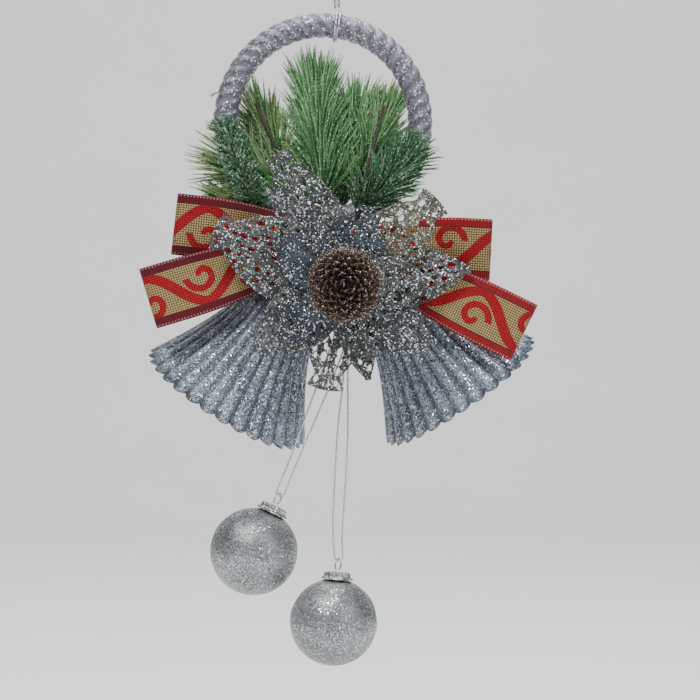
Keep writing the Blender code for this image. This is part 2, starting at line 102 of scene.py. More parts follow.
def mesh_object(name, points, faces, corner_uv=None, smooth=True, weld=True):
    """Points and four-cornered faces made into one object, with doubles merged and faces out."""
    mesh = bpy.data.meshes.new(name)
    mesh.vertices.add(len(points))
    mesh.vertices.foreach_set("co", np.ascontiguousarray(points, dtype=np.float32).ravel())
    mesh.loops.add(faces.size)
    mesh.loops.foreach_set("vertex_index", faces.ravel().astype(np.int32))
    mesh.polygons.add(len(faces))
    mesh.polygons.foreach_set("loop_start", np.arange(0, faces.size, faces.shape[1], dtype=np.int32))
    mesh.update(calc_edges=True)
    if corner_uv is not None:
        layer = mesh.uv_layers.new(name="UVMap")
        layer.data.foreach_set("uv", corner_uv.astype(np.float32).ravel())
    mesh.validate()
    if weld:
        work = bmesh.new()
        work.from_mesh(mesh)
        bmesh.ops.remove_doubles(work, verts=work.verts, dist=1e-6)
        bmesh.ops.dissolve_degenerate(work, edges=work.edges, dist=1e-7)
        bmesh.ops.recalc_face_normals(work, faces=work.faces)
        work.to_mesh(mesh)
        work.free()
    mesh.polygons.foreach_set("use_smooth", np.full(len(mesh.polygons), smooth))
    made = bpy.data.objects.new(name, mesh)
    bpy.context.scene.collection.objects.link(made)
    return made


def grid_uv(u, v):
    """A UV grid from the values along its rows and along its columns."""
    return np.stack(np.meshgrid(u, v, indexing="ij"), axis=-1)


def grid_object(name, points, uv=None, loop_rows=False, loop_columns=False, **mesh_options):
    """A grid of points (rows, columns, 3) as an object. uv has one more row or column where a side closes."""
    rows, columns = points.shape[:2]
    if uv is None:
        uv = grid_uv(np.arange(rows + loop_rows) / rows, np.arange(columns + loop_columns) / columns)
    row, column = grid_faces(rows, columns, loop_rows, loop_columns)
    faces = (row % rows) * columns + column % columns
    made = mesh_object(name, points.reshape(-1, 3), faces, uv[row, column], **mesh_options)
    print(f"{name}: {len(made.data.polygons)} faces")
    return made


def coat(obj, material):
    """Gives an object one material, instead of any that it had."""
    obj.data.materials.clear()
    obj.data.materials.append(material)


def dress(obj, material, body, slot, *nodes):
    """Gives a piece its material and the body it moves with, and hides the CAD nodes it stands for; slot is
    not used.
    """
    coat(obj, material)
    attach(obj, body)
    if nodes:
        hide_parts(*nodes)
    return obj

# %% [markdown]
# ## Anything long and thin
# A cord, a wire and the hoop's rope are all a cross-section carried along a path. The section
# stays square to the path, because at every point two directions across it are worked out from the
# path's own direction and one fixed direction. The paths here are smooth curves through a few
# given points.

# %% Directions and distances
AWAY, UP = np.array([0.0, 1.0, 0.0]), np.array([0.0, 0.0, 1.0])


def spoke(angle):
    """The direction at an angle (radians) from +X towards +Z, in the ornament's own plane."""
    return np.stack([np.cos(angle), 0.0 * angle, np.sin(angle)], axis=-1)


def out_from(centre, *moves):
    """Points at a centre plus a distance in each direction; a move is a direction and its distances."""
    return centre + sum(np.asarray(distance)[..., None] * direction for direction, distance in moves)

# %% Paths and sweeps
def smooth_route(points, spacing):
    """Evenly spaced points on the curve that passes through the given ones (in mm), bending smoothly."""
    given = np.array(points, dtype=float) * MM
    padded = np.vstack([2 * given[0] - given[1], given, 2 * given[-1] - given[-2]])
    before, here, there, after = (padded[start:start + len(given) - 1, None] for start in range(4))
    t = np.linspace(0.0, 1.0, 24, endpoint=False)[None, :, None]
    curve = 0.5 * (2 * here + (there - before) * t + (2 * before - 5 * here + 4 * there - after) * t ** 2
                   + (3 * here - before - 3 * there + after) * t ** 3)
    curve = np.vstack([curve.reshape(-1, 3), given[-1:]])
    run = run_along(curve)
    even = np.linspace(0.0, run[-1], max(4, round(run[-1] / spacing)) + 1)
    return np.stack([np.interp(even, run, curve[:, axis]) for axis in range(3)], axis=1)


def run_along(path):
    """Distance travelled at each point of a path."""
    return np.concatenate([[0.0], np.cumsum(np.linalg.norm(np.diff(path, axis=0), axis=1))])


def carry(path, section, fixed):
    """Rings of points: the section (points, sides, 2) set square to the path at each of its points."""
    heading = unit(np.gradient(path, axis=0))
    side = unit(np.cross(heading, fixed))
    return out_from(path[:, None], (side[:, None], section[..., 0]),
                    (np.cross(side, heading)[:, None], section[..., 1]))


def wire(name, path, diameter, fixed=AWAY, sides=10, pitch=None, groove=0.3):
    """A circle carried along a path. With a pitch it is two strands, which wind once round in that length."""
    run = run_along(path)
    angle = np.linspace(0.0, 2 * np.pi, sides, endpoint=False)
    radius = np.full((len(path), sides), diameter / 2)
    if pitch:
        radius *= 1.0 - groove + groove * np.abs(np.cos(angle - 2 * np.pi * run[:, None] / pitch))
    section = np.stack([np.cos(angle), np.sin(angle)], axis=-1) * radius[..., None]
    ends = [np.repeat(path[[end]][:, None], sides, axis=1) for end in (0, -1)]
    points = np.concatenate([ends[0], carry(path, section, fixed), ends[1]])
    along = np.concatenate([run[:1], run, run[-1:]])
    return grid_object(name, points, grid_uv(along, np.arange(sides + 1) / sides), loop_columns=True)

# %% [markdown]
# ## Finishes: how the nodes are written
# Every finish is a small network of nodes. One helper adds a node and sets or joins its inputs.
# Sums are written as ordinary sums: a Number stands for a value that changes over the surface, and
# each step of arithmetic on it adds a Math node. This keeps a long network as short as a formula.

# %% Nodes
def set_or_join(socket, value):
    """Joins an input to a node's output or a Number, or sets it to a plain value."""
    value = getattr(value, "socket", value)
    if isinstance(value, bpy.types.NodeSocket):
        socket.id_data.links.new(value, socket)
    else:
        socket.default_value = value


def feed(inputs, **values):
    """Sets or joins several inputs by name, where an underscore stands for a space."""
    for label, value in values.items():
        set_or_join(inputs[label.replace("_", " ")], value)


def add_node(tree, kind, inputs=None, **settings):
    """A shader node with its settings; each input is set to a value or joined to another node's output."""
    made = tree.nodes.new("ShaderNode" + kind)
    for key, value in settings.items():
        setattr(made, key, value)
    for key, value in (inputs or {}).items():
        set_or_join(made.inputs[key], value)
    return made

# %% Sums that change over the surface
class Number:
    """A number that changes over the surface; each sum on it adds one Math node to its network."""

    def __init__(self, socket):
        self.socket = socket

    def node(self, operation, *others):
        """The result of one Math node on this number and others."""
        inputs = dict(enumerate((self, *others)))
        return Number(add_node(self.socket.id_data, "Math", inputs, operation=operation).outputs[0])

    def fold(self):
        """0 at whole numbers and 1 halfway between them."""
        return self.node("PINGPONG", 0.5) * 2.0

    def __add__(self, other):
        return self.node("ADD", other)

    def __sub__(self, other):
        return self.node("SUBTRACT", other)

    def __rsub__(self, other):
        return self * -1.0 + other

    def __mul__(self, other):
        return self.node("MULTIPLY", other)

    def __truediv__(self, other):
        return self.node("DIVIDE", other)

    def __lt__(self, other):
        return self.node("LESS_THAN", other)

    def __gt__(self, other):
        return self.node("GREATER_THAN", other)

    def __abs__(self):
        return self.node("ABSOLUTE")


def surface_uv(tree):
    """The two numbers of the piece's own UV map."""
    parts = add_node(tree, "SeparateXYZ", {0: add_node(tree, "UVMap").outputs[0]}).outputs
    return Number(parts[0]), Number(parts[1])


def object_noise(tree, scale, detail):
    """Cloudy noise in the piece's own space."""
    place = add_node(tree, "TexCoord").outputs["Object"]
    return Number(add_node(tree, "TexNoise", {"Vector": place, "Scale": scale, "Detail": detail}).outputs[0])


def relief(tree, height, strength, distance, **normal):
    """The surface's direction once a height is laid on it, by a Bump node."""
    inputs = {"Height": height, "Strength": strength, "Distance": distance, **normal}
    return add_node(tree, "Bump", inputs).outputs[0]

# %% Colours, groups and materials
def blend_colours(tree, share, first, second):
    """The first colour where share is 0, the second where it is 1; a plain colour is red, green, blue."""
    first, second = ((*colour, 1.0) if isinstance(colour, tuple) else colour for colour in (first, second))
    return add_node(tree, "Mix", {0: share, 6: first, 7: second}, data_type="RGBA").outputs[2]


def step_between(tree, value, low, high):
    """0 below low, 1 above high, straight between."""
    inputs = {"Value": value, "From Min": low, "From Max": high}
    return Number(add_node(tree, "MapRange", inputs, clamp=True).outputs[0])


def new_group(name, inputs, outputs):
    """An empty node group with named inputs and outputs."""
    tree = bpy.data.node_groups.new(name, "ShaderNodeTree")
    for label, kind, default in inputs:
        socket = tree.interface.new_socket(label, in_out="INPUT", socket_type="NodeSocket" + kind)
        socket.default_value = default
    for label, kind in outputs:
        tree.interface.new_socket(label, in_out="OUTPUT", socket_type="NodeSocket" + kind)
    given = tree.nodes.new("NodeGroupInput").outputs
    given = {label: Number(given[label]) for label, kind, default in inputs}
    return tree, given, tree.nodes.new("NodeGroupOutput").inputs


def new_material(name, **shader_values):
    """A material with one Principled shader, whose plain values are set on its own sockets."""
    material = bpy.data.materials.new(name)
    material.use_nodes = True
    tree = material.node_tree
    shader = tree.nodes["Principled BSDF"]
    feed(shader.inputs, **shader_values)
    return material, tree, shader


def use_group(tree, group, **inputs):
    """A copy of a node group, with its inputs set or joined; returns its outputs by name."""
    made = add_node(tree, "Group")
    made.node_tree = group
    feed(made.inputs, **inputs)
    return {socket.name: Number(socket) for socket in made.outputs}

# %% [markdown]
# ## Glitter
# Glitter is thousands of tiny foil squares glued down at random tilts: some face the light and
# flash, most are grey. Cells of a Voronoi pattern stand for the flakes. Each cell has its own
# random colour, which is used three ways: as its shade, as the choice of which flakes get a
# painted glint, and as a tilt added to the surface's direction. A painted glint is a near-white
# colour and a smoother finish, whichever way the flake faces. A bump map would only roughen the
# surface; tilting whole cells makes flat flakes.

# %% Glitter group
def build_glitter():
    """Voronoi cells with a random shade, a flash mask for painted glints and a tilted direction, plus soft
    patchiness.
    """
    tree, given, result = new_group(
        "glitter", [("Flakes per metre", "Float", 2000.0), ("Flash share", "Float", 0.15),
                    ("Tilt", "Float", 0.5), ("Patch size", "Float", 0.01)],
        [("Shade", "Float"), ("Flash", "Float"), ("Patch", "Float"), ("Normal", "Vector")])
    place = add_node(tree, "TexCoord").outputs["Object"]
    flakes = add_node(tree, "TexVoronoi", {"Vector": place, "Scale": given["Flakes per metre"]})
    flakes = flakes.outputs["Color"]
    lots = add_node(tree, "SeparateColor", {"Color": flakes}).outputs
    patch_scale = given["Patch size"].node("POWER", -1.0)
    tilt = add_node(tree, "VectorMath", {0: flakes, 1: (0.5, 0.5, 0.5)}, operation="SUBTRACT")
    tilt = add_node(tree, "VectorMath", {0: tilt.outputs[0], "Scale": given["Tilt"]}, operation="SCALE")
    facing = add_node(tree, "NewGeometry").outputs["Normal"]
    lean = add_node(tree, "VectorMath", {0: facing, 1: tilt.outputs[0]}, operation="ADD")
    lean = add_node(tree, "VectorMath", {0: lean.outputs[0]}, operation="NORMALIZE")
    # Flash marks the flakes that get painted glints.
    feed(result, Shade=lots[0], Flash=Number(lots[1]) > 1.0 - given["Flash share"],
         Patch=object_noise(tree, patch_scale, 3.0), Normal=lean.outputs[0])
    return tree


GLITTER = build_glitter()


def glitter_material(name, dark, light, flash, flakes=2000.0, flash_share=0.15, tilt=0.6, patch=0.012,
                     patch_depth=0.35, grooves=0, **shader_values):
    """Glitter of one colour family, worn a little in patches, with painted glints, and painted shade in the
    grooves if there are any.
    """
    material, tree, shader = new_material(name, **shader_values)
    out = use_group(tree, GLITTER, Flakes_per_metre=flakes, Flash_share=flash_share, Tilt=tilt,
                    Patch_size=patch)
    shade = out["Shade"] - step_between(tree, out["Patch"], 0.35, 0.65) * patch_depth
    flash_mask = out["Flash"]
    if grooves:
        # Painted shade in the grooves: towards each groove between the ribs the glitter's tone drops to a
        # fifth and its painted glints to 0.3.
        off_rib = (surface_uv(tree)[1] * float(grooves)).fold()
        full = step_between(tree, off_rib, 1.0, 0.35)
        shade = shade * (full * 0.8 + 0.2)
        flash_mask = flash_mask * (full * 0.7 + 0.3)
    # Flash flakes are painted the near-white flash colour and made smoother: painted glints.
    colour = blend_colours(tree, flash_mask, blend_colours(tree, shade, dark, light), flash)
    smoothness = flash_mask * -0.25 + shader.inputs["Roughness"].default_value
    feed(shader.inputs, Base_Color=colour, Roughness=smoothness, Normal=out["Normal"])
    return material

# %% [markdown]
# ## Floor, wall and light
# A pale sheet runs along the floor and curves up behind the ornament, as in a small studio. The
# light is a soft lamp high on the left, a weaker one on the right, one above, one that lights only
# the wall, and pale daylight all round, so the foil flakes have bright and dark things to mirror.

# %% Stage
def plain_material(name, colour, roughness):
    """Painted paper: one colour with the faint unevenness of its surface."""
    material, tree, shader = new_material(name, Roughness=roughness)
    darker = tuple(0.94 * part for part in colour)
    feed(shader.inputs, Base_Color=blend_colours(tree, object_noise(tree, 9.0, 4.0), colour, darker))
    return material


def paper_sweep():
    """Flat floor, then a quarter circle, then a wall: one profile carried straight across."""
    floor_z = cad_box[0].z - 60 * MM
    bend, wall_y, wall_top, front_y, half_width = 0.6, 2.7, 3.4, -2.8, 3.2
    turn = np.linspace(0.0, np.pi / 2, 24)
    curve = np.stack([wall_y - bend + bend * np.sin(turn), floor_z + bend - bend * np.cos(turn)], axis=1)
    profile = np.vstack([[front_y, floor_z], curve, [wall_y, wall_top]])
    across = np.linspace(-half_width, half_width, 9)
    points = np.stack(np.broadcast_arrays(across, profile[:, :1], profile[:, 1:]), axis=-1)
    sweep = grid_object("paper_sweep", points, points[..., :2], weld=False)
    sweep.data.materials.append(plain_material("pale_paper", (0.86, 0.86, 0.85), 0.9))


def soft_lamp(name, place, size, watts, colour=(1.0, 1.0, 1.0), aim=VIEW_CENTRE):
    """A square lamp that faces the middle of the ornament, or the point that it is given."""
    data = bpy.data.lights.new(name, "AREA")
    data.size = size
    data.energy = watts
    data.color = colour
    lamp = bpy.data.objects.new(name, data)
    lamp.location = place
    lamp.rotation_euler = (Vector(aim) - Vector(place)).to_track_quat("-Z", "Y").to_euler()
    bpy.context.scene.collection.objects.link(lamp)


paper_sweep()
soft_lamp("key_lamp", (-0.5, -0.9, 1.1), 0.45, 24.0, (1.0, 0.98, 0.95))
soft_lamp("fill_lamp", (1.1, -1.1, 0.5), 0.4, 8.0, (0.93, 0.97, 1.0))
soft_lamp("top_lamp", (0.3, 0.0, 1.0), 0.5, 15.0)
soft_lamp("wall_lamp", (0.0, 0.9, 1.9), 1.4, 55.0, aim=(0.0, 2.7, 0.1))
world = bpy.data.worlds.new("daylight")
world.use_nodes = True
world.node_tree.nodes["Background"].inputs["Color"].default_value = (0.85, 0.9, 1.0, 1.0)
world.node_tree.nodes["Background"].inputs["Strength"].default_value = 0.2
bpy.context.scene.world = world

# %% [markdown]
# ## Cords
# The hanger loop and the two ball cords are thin metallic gift thread: two strands of foil-wrapped
# yarn twisted together. The twist is real geometry, two lobes that wind along the path, so a lit
# strand shows as a row of small beads. Each cord is folded double: it leaves the knot behind the
# flower, turns through the ball's wire loop and comes back.

# %% Thread finish
def thread_material(name, dark, light, pitch):
    """Foil yarn: fine slanting filaments along the cord, with scattered spots painted near-white as glints.
    """
    material, tree, shader = new_material(name, Roughness=0.35, Metallic=0.75)
    u, v = surface_uv(tree)
    filament = (u * (6.0 / pitch) + v * 6.0).node("PINGPONG", 0.5)
    # Painted glints: noise picks scattered spots, which are painted near-white.
    bright = step_between(tree, object_noise(tree, 1500.0, 1.0), 0.42, 0.62)
    colour = blend_colours(tree, bright, blend_colours(tree, filament * 2.0, dark, light), (0.95, 0.95, 0.93))
    feed(shader.inputs, Base_Color=colour, Normal=relief(tree, filament, 0.5, 0.1 * MM))
    return material


HANGER_THREAD = thread_material("hanger_thread", (0.12, 0.085, 0.16), (0.42, 0.34, 0.50), 2.6 * MM)
BALL_THREAD = thread_material("ball_cord_thread", (0.22, 0.22, 0.22), (0.68, 0.68, 0.66), 2.2 * MM)


def thread(name, route, diameter, pitch):
    """Two strands twisted once a pitch, along a smooth route; returns the piece and its path."""
    path = smooth_route(route, pitch / 6)
    return wire(name, path, diameter, sides=8, pitch=pitch), path

# %% Hanger loop and its hitch
HOOP_CENTRE = np.array([-6.4, 0.0, -102.4]) * MM
HOOP_TUBE = 5.75 * MM
HOOP_MEAN = 44.65 * MM
HITCH_CENTRE = np.array([0.0, 0.0, -58.211])
HITCH_RADIUS = 7.05
HANGER_DIAMETER, HANGER_PITCH = 1.2 * MM, 2.6 * MM
foot_z = HITCH_CENTRE[2] + HITCH_RADIUS + 1.3
half_loop = [(0.8, 0, foot_z), (0.9, 0, -40), (1.9, 0, -26), (3.0, 0, -12), (3.1, 0, -4.2), (2.2, 0, -0.8)]
hanger_route = [(-x, y, z) for x, y, z in half_loop] + [(0, 0, 0.6)] + half_loop[::-1]
hanger, hanger_path = thread("hanger_loop", hanger_route, HANGER_DIAMETER, HANGER_PITCH)
dress(hanger, HANGER_THREAD, "hanger", "hanger_thread", "hanger_cord")


def hitch_rings():
    """The loop pulled through itself: two turns side by side round the hoop's rope, as closed rings."""
    tangent, outwards = np.array([[0.98967, 0.0, -0.14334], [0.14334, 0.0, 0.98967]])
    turn = np.linspace(0.0, 2 * np.pi, 121)
    for number, shift in enumerate((-0.62, 0.62), 1):
        path = out_from(HITCH_CENTRE, (tangent, shift * (1.0 + 0.35 * np.cos(turn))),
                        (outwards, HITCH_RADIUS * np.cos(turn)), (AWAY, HITCH_RADIUS * np.sin(turn)))
        yield wire(f"hitch_turn_{number}", path * MM, HANGER_DIAMETER, tangent, sides=8, pitch=HANGER_PITCH)


hitch_turns = list(hitch_rings())
for turn_piece in hitch_turns:
    dress(turn_piece, HANGER_THREAD, "hitch", "hanger_thread")
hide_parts("hanger_hitch")
hanger_length = float(run_along(hanger_path)[-1])
tuple(hanger_path[0])
print("hanger loop", round(hanger_length / MM), "mm of thread")

# %% Ball cords
CORD_DIAMETER, CORD_PITCH = 0.9 * MM, 2.2 * MM
FLOWER = np.array([3.7, 0.0, -178.0])
HAIRPIN_RADIUS = 1.8


def hairpin(ring_top, tilt_degrees):
    """Half a circle that takes the cord through the ball's wire loop, square to the loop's own lean."""
    tilt = np.radians(tilt_degrees)
    up, side = spoke(np.pi / 2 - tilt), spoke(-tilt)
    turn = np.linspace(0.0, np.pi, 5)
    return list(out_from(ring_top, (up, HAIRPIN_RADIUS * (1.0 - np.sin(turn)) - 1.55),
                         (side, -HAIRPIN_RADIUS * np.cos(turn))))


def hang(points, y):
    """Route points given as (x, height from the flower's centre), set at their depth."""
    return [(x, y, FLOWER[2] + z) for x, z in points]


RING_TOPS = {"left": (-25.7, -8.5, -272.2), "right": (0.8, -5.0, -302.2)}
cord_routes = {
    "left": hang([(5.9, -3.6), (-1.6, -24.0), (-9.0, -45.1), (-20.9, -77.3)], -8.5)
    + hairpin(RING_TOPS["left"], 20.5)
    + hang([(-16.9, -77.5), (-2.4, -43.3), (5.3, -22.0), (9.3, -3.6)], -8.5),
    "right": hang([(4.2, -3.6), (3.0, -39.6), (0.2, -68.0), (-1.5, -100.0), (-1.7, -114.0)], -5.0)
    + hairpin(RING_TOPS["right"], 3.0)
    + hang([(2.4, -114.0), (3.4, -98.0), (4.9, -70.0), (5.0, -39.6), (5.6, -3.6)], -5.0),
}
for side, route in cord_routes.items():
    cord, path = thread(f"ball_cord_{side}_thread", route, CORD_DIAMETER, CORD_PITCH)
    dress(cord, BALL_THREAD, f"cord_{side}", "ball_cord", f"ball_cord_{side}")
    cord_length = float(run_along(path)[-1])
    tuple(path[0])
    print(side, "ball cord", round(cord_length / MM), "mm of thread, folded double")

# %% [markdown]
# ## The hoop
# The hoop is a ring of thick pearly cord: three fat strands twisted together, so its edge shows a
# row of shallow lobes and its face shows slanting grooves. One section is carried round the ring
# while its lobes wind, 49 of them to the round, and the strands meet themselves where they close.
# The surface is brushed-looking lurex, with a sparse dusting of glitter, painted glints and painted shade in
# bands along the twist.

# %% Hoop finish
HOOP_LOBES = 49


def rope_material(name):
    """Pearl lurex: fine filaments along each strand, bands of painted shade that follow the twist, and a few
    painted glints.
    """
    material, tree, shader = new_material(name, Roughness=0.38, Metallic=0.35, Sheen_Weight=0.25,
                                          Sheen_Roughness=0.4)
    u, v = surface_uv(tree)
    # crown carries painted shade: the strands' colour runs dark to pale in bands that follow the lobes.
    crown = (u * HOOP_LOBES + v * -3.0).node("FRACT").fold()
    filament = (v * 60.0 + u * 300.0).node("PINGPONG", 0.5)
    out = use_group(tree, GLITTER, Flakes_per_metre=1700.0, Flash_share=0.06, Tilt=0.35, Patch_size=0.02)
    shade = crown * (filament * 0.5 + 0.75)
    colour = blend_colours(tree, shade, (0.035, 0.033, 0.05), (0.17, 0.165, 0.22))
    colour = blend_colours(tree, out["Shade"] * 0.25, colour, (0.62, 0.66, 0.72))
    # Painted glints: flash flakes are painted near-white.
    colour = blend_colours(tree, out["Flash"], colour, (0.9, 0.92, 0.95))
    feed(shader.inputs, Base_Color=colour, Normal=relief(tree, filament, 0.4, 0.2 * MM, Normal=out["Normal"]))
    return material

# %% Hoop
def twisted_ring(steps=640, sides=36, groove=0.8 * MM):
    """A ring about the hoop's centre whose section has three lobes; they wind 49 / 3 turns in one round."""
    round_it = np.linspace(0.0, 2 * np.pi, steps, endpoint=False)[:, None]
    across = np.linspace(0.0, 2 * np.pi, sides, endpoint=False)
    lobe = np.abs(np.cos(1.5 * across - 0.5 * HOOP_LOBES * round_it))
    radius = HOOP_TUBE - groove * (1.0 - lobe ** 0.7)
    points = out_from(HOOP_CENTRE, (spoke(round_it), HOOP_MEAN + radius * np.cos(across)),
                      (AWAY, radius * np.sin(across)))
    return grid_object("hoop_rope", points, loop_rows=True, loop_columns=True)


hoop = dress(twisted_ring(), rope_material("hoop_pearl"), "ornament", "hoop_silver", "hoop")

# %% [markdown]
# The rope's two cut ends are tucked in at the upper left, where two short stubs of its core stick
# out. A binding wire is wound three times round the foot of the hoop, and holds all the rest.

# %% Stubs and binding wire
def metal_material(name, colour, dull, roughness, scale):
    """Drawn wire: streaks along it, duller where fingers and rubbing have taken the shine."""
    material, tree, shader = new_material(name, Metallic=0.85)
    wear = object_noise(tree, scale, 5.0)
    share = step_between(tree, wear, 0.4, 0.62)
    feed(shader.inputs, Base_Color=blend_colours(tree, share, colour, dull),
         Roughness=share * 0.3 + roughness, Normal=relief(tree, wear, 0.25, 0.1 * MM))
    return material


BINDING = metal_material("green_binding_wire", (0.07, 0.13, 0.07), (0.16, 0.15, 0.11), 0.35, 900.0)
SILVER_WIRE = metal_material("silver_wire", (0.62, 0.62, 0.62), (0.35, 0.34, 0.33), 0.22, 700.0)
for number, (start_degrees, lean) in enumerate(((159.0, 5.0), (174.0, 6.0)), 1):
    angle = np.radians(start_degrees + lean * np.array([0.0, 1.0, 1.5]))
    reach = HOOP_MEAN / MM + np.array([2.0, 6.5, 8.6])
    stub_path = smooth_route(out_from(HOOP_CENTRE / MM, (spoke(angle), reach)), 0.5 * MM)
    stub = wire(f"hoop_stub_{number}", stub_path, 1.8 * MM, pitch=3 * MM)
    dress(stub, HANGER_THREAD, "ornament", "hoop_silver")


def binding_coil(turns=3, pitch=1.7, wire_radius=0.5, gap=0.6, start=2.5):
    """A helix round the hoop's own tube: the section's angle goes round three times as it moves along."""
    turn = np.linspace(0.0, turns, 24 * turns + 1)
    outwards = spoke((start + turn * pitch) * MM / HOOP_MEAN - np.pi / 2)
    around = 2 * np.pi * turn
    reach = HOOP_TUBE + (gap + wire_radius) * MM
    return out_from(HOOP_CENTRE, (outwards, HOOP_MEAN + reach * np.cos(around)),
                    (AWAY, reach * np.sin(around)))


binding = wire("binding_coil", binding_coil(), 1.0 * MM, (1.0, 0.05, 0.2))
dress(binding, BINDING, "ornament", "binding_wire", "binding_wire")

# %% [markdown]
# ## The bells
# Each bell is a thin moulded shell with thirty pleats. Seen from its mouth, a pleat is
# a rounded rib with a sharp groove on each side, and the ribs stand a little past the grooves at
# the rim, which gives the scalloped edge. A profile is turned about the bell's axis, and its
# radius dips by the distance from the nearest rib. The profile runs down outside and back up
# inside, so the wall has a real thickness and the shell closes on itself.

# %% Bell glitter
BELL_PLEATS, PLEAT_DEPTH = 30, 2.6
# The third colour is a painted glint colour, and grooves=BELL_PLEATS adds painted shade in the grooves
# between the pleats.
BELL_GLITTER = glitter_material("bell_glitter", (0.07, 0.08, 0.105), (0.36, 0.41, 0.47), (0.80, 0.93, 1.0),
                                flakes=2300.0, flash_share=0.17, tilt=0.6, patch=0.014, patch_depth=0.35,
                                Roughness=0.42, Metallic=0.6, grooves=BELL_PLEATS)

# %% Bells
BELL_RIM, BELL_WAIST, BELL_SKIRT, BELL_CROWN, BELL_WALL = 40.8, 20.0, 45.0, 17.5, 1.2


def turned_frame(centre, up):
    """A centre and three directions: two across the axis and the axis itself."""
    z = unit(np.array(up, dtype=float))
    x = unit(np.cross(AWAY, z))
    return np.array(centre, dtype=float), x, np.cross(z, x), z


def turn_profile(place, radius, height, angle):
    """Points at each radius and height (mm) from the axis, for each angle round it."""
    centre, x, y, z = place
    return out_from(centre, (x, radius * np.cos(angle)), (y, radius * np.sin(angle)), (z, height)) * MM


def bell_radius(height, inset=0.0):
    """Flared skirt up to the waist, then a quarter ellipse that closes the crown."""
    skirt = BELL_WAIST + (BELL_RIM - BELL_WAIST) * (1.0 - np.clip(height / BELL_SKIRT, 0.0, 1.0)) ** 1.35
    over = np.clip((height - BELL_SKIRT) / (BELL_CROWN - inset), 0.0, 1.0)
    return (skirt - inset) * np.sqrt(1.0 - over ** 2)


def pleated_bell(name, rim_centre, mouth):
    """The turned shell, with pleats that fade out towards the crown."""
    top = BELL_SKIRT + BELL_CROWN
    outer = top * np.cos(np.linspace(0.06, np.pi / 2, 46)) ** 0.8
    inner = (top - BELL_WALL) * np.sin(np.linspace(0.0, np.pi / 2 - 0.07, 34)) ** 1.25
    radius = np.concatenate([bell_radius(outer), bell_radius(inner, BELL_WALL)])[:, None]
    height = np.concatenate([outer, inner])[:, None]
    angle = np.linspace(0.0, 2 * np.pi, BELL_PLEATS * 10, endpoint=False)
    valley = 1.0 - np.abs(np.cos(0.5 * BELL_PLEATS * angle)) ** 0.8
    fade = np.clip(1.0 - height / 54.0, 0.0, 1.0) ** 0.7
    near_rim = np.clip(1.0 - height / 12.0, 0.0, 1.0) ** 2
    lift = near_rim * (1.1 * valley - 0.5 + 0.35 * np.sin(3 * angle + 0.7))
    points = turn_profile(turned_frame(rim_centre, -np.array(mouth)),
                          radius + fade * (1.0 - PLEAT_DEPTH * valley), height + lift, angle)
    return grid_object(name, points, loop_rows=True, loop_columns=True)


BELLS = {"left": ((-50.7, 11.59, -228.58), (-0.5142, 0.2419, -0.8229)),
         "right": ((56.77, 12.05, -225.45), (0.5714, 0.1908, -0.7982))}
for side, (rim_centre, mouth) in BELLS.items():
    bell = pleated_bell(f"pleated_bell_{side}", rim_centre, mouth)
    dress(bell, BELL_GLITTER, "ornament", "bell_glitter", f"bell_{side}")
    coat(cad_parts[f"bell_wire_{side}"], SILVER_WIRE)

# %% [markdown]
# ## The balls
# A ball is a blown plastic shell under a thick coat of fine glitter, which lies a little uneven.
# On top sits a stamped cap: a ridged collar with a scalloped, glittered skirt, and a springy wire
# loop whose two legs go down through the cap. The right ball also keeps the small nub of glue and
# glitter on its left side.

# %% Ball glitter
# The third colours are painted glint colours.
BALL_GLITTER = glitter_material("ball_glitter", (0.14, 0.145, 0.15), (0.42, 0.44, 0.455), (0.88, 0.97, 1.0),
                                flakes=2900.0, flash_share=0.11, tilt=0.38, patch=0.012, patch_depth=0.3,
                                Roughness=0.42, Metallic=0.7)
CAP_SILVER = glitter_material("cap_silver", (0.22, 0.22, 0.22), (0.62, 0.61, 0.59), (0.97, 0.97, 0.95),
                              flakes=2600.0, flash_share=0.2, tilt=0.35, patch=0.004, patch_depth=0.3,
                              Roughness=0.34, Metallic=0.9)

# %% Ball, cap and loop
BALL_RADIUS, BALL_WALL, NECK_RADIUS, NECK_FOOT, NECK_TOP = 20.0, 1.2, 4.6, 20.8, 22.2
RING_RADIUS = 2.6


def coated_ball(name, place, nub=None):
    """A shell of two spheres, open at the neck; the outer one rises and dips by a few sums of waves."""
    neck_angle = np.arcsin(NECK_RADIUS / BALL_RADIUS)
    down = np.linspace(np.pi, neck_angle, 90)[:, None]
    up = np.linspace(neck_angle * 1.05, np.pi, 30)[:, None]
    angle = np.linspace(0.0, 2 * np.pi, 128, endpoint=False)
    ripple = np.sin(5 * angle + 3 * down) + np.sin(9 * down - 4 * angle) + np.sin(13 * angle + 8 * down)
    seam = -0.12 * np.exp(-((down - np.pi / 2) / 0.02) ** 2)
    outer = BALL_RADIUS + 0.06 * ripple * np.sin(down) + seam
    if nub:
        nub_down, nub_angle = nub
        turn = (angle - nub_angle + np.pi) % (2 * np.pi) - np.pi
        off = (down - nub_down) ** 2 + (turn * np.sin(down)) ** 2
        outer = outer + 1.5 * np.exp(-off / 0.055 ** 2)
    level = np.ones((1, len(angle)))
    inner = (BALL_RADIUS - BALL_WALL) * level
    neck = [size * level for size in (NECK_RADIUS, NECK_RADIUS, NECK_RADIUS - 0.9, NECK_RADIUS - 0.9)]
    neck_height = [size * level for size in (NECK_FOOT, NECK_TOP, NECK_TOP, NECK_FOOT)]
    radius = np.concatenate([outer * np.sin(down), *neck, inner * np.sin(up)])
    height = np.concatenate([outer * np.cos(down), *neck_height, inner * np.cos(up)])
    return grid_object(name, turn_profile(place, radius, height, angle), loop_columns=True)


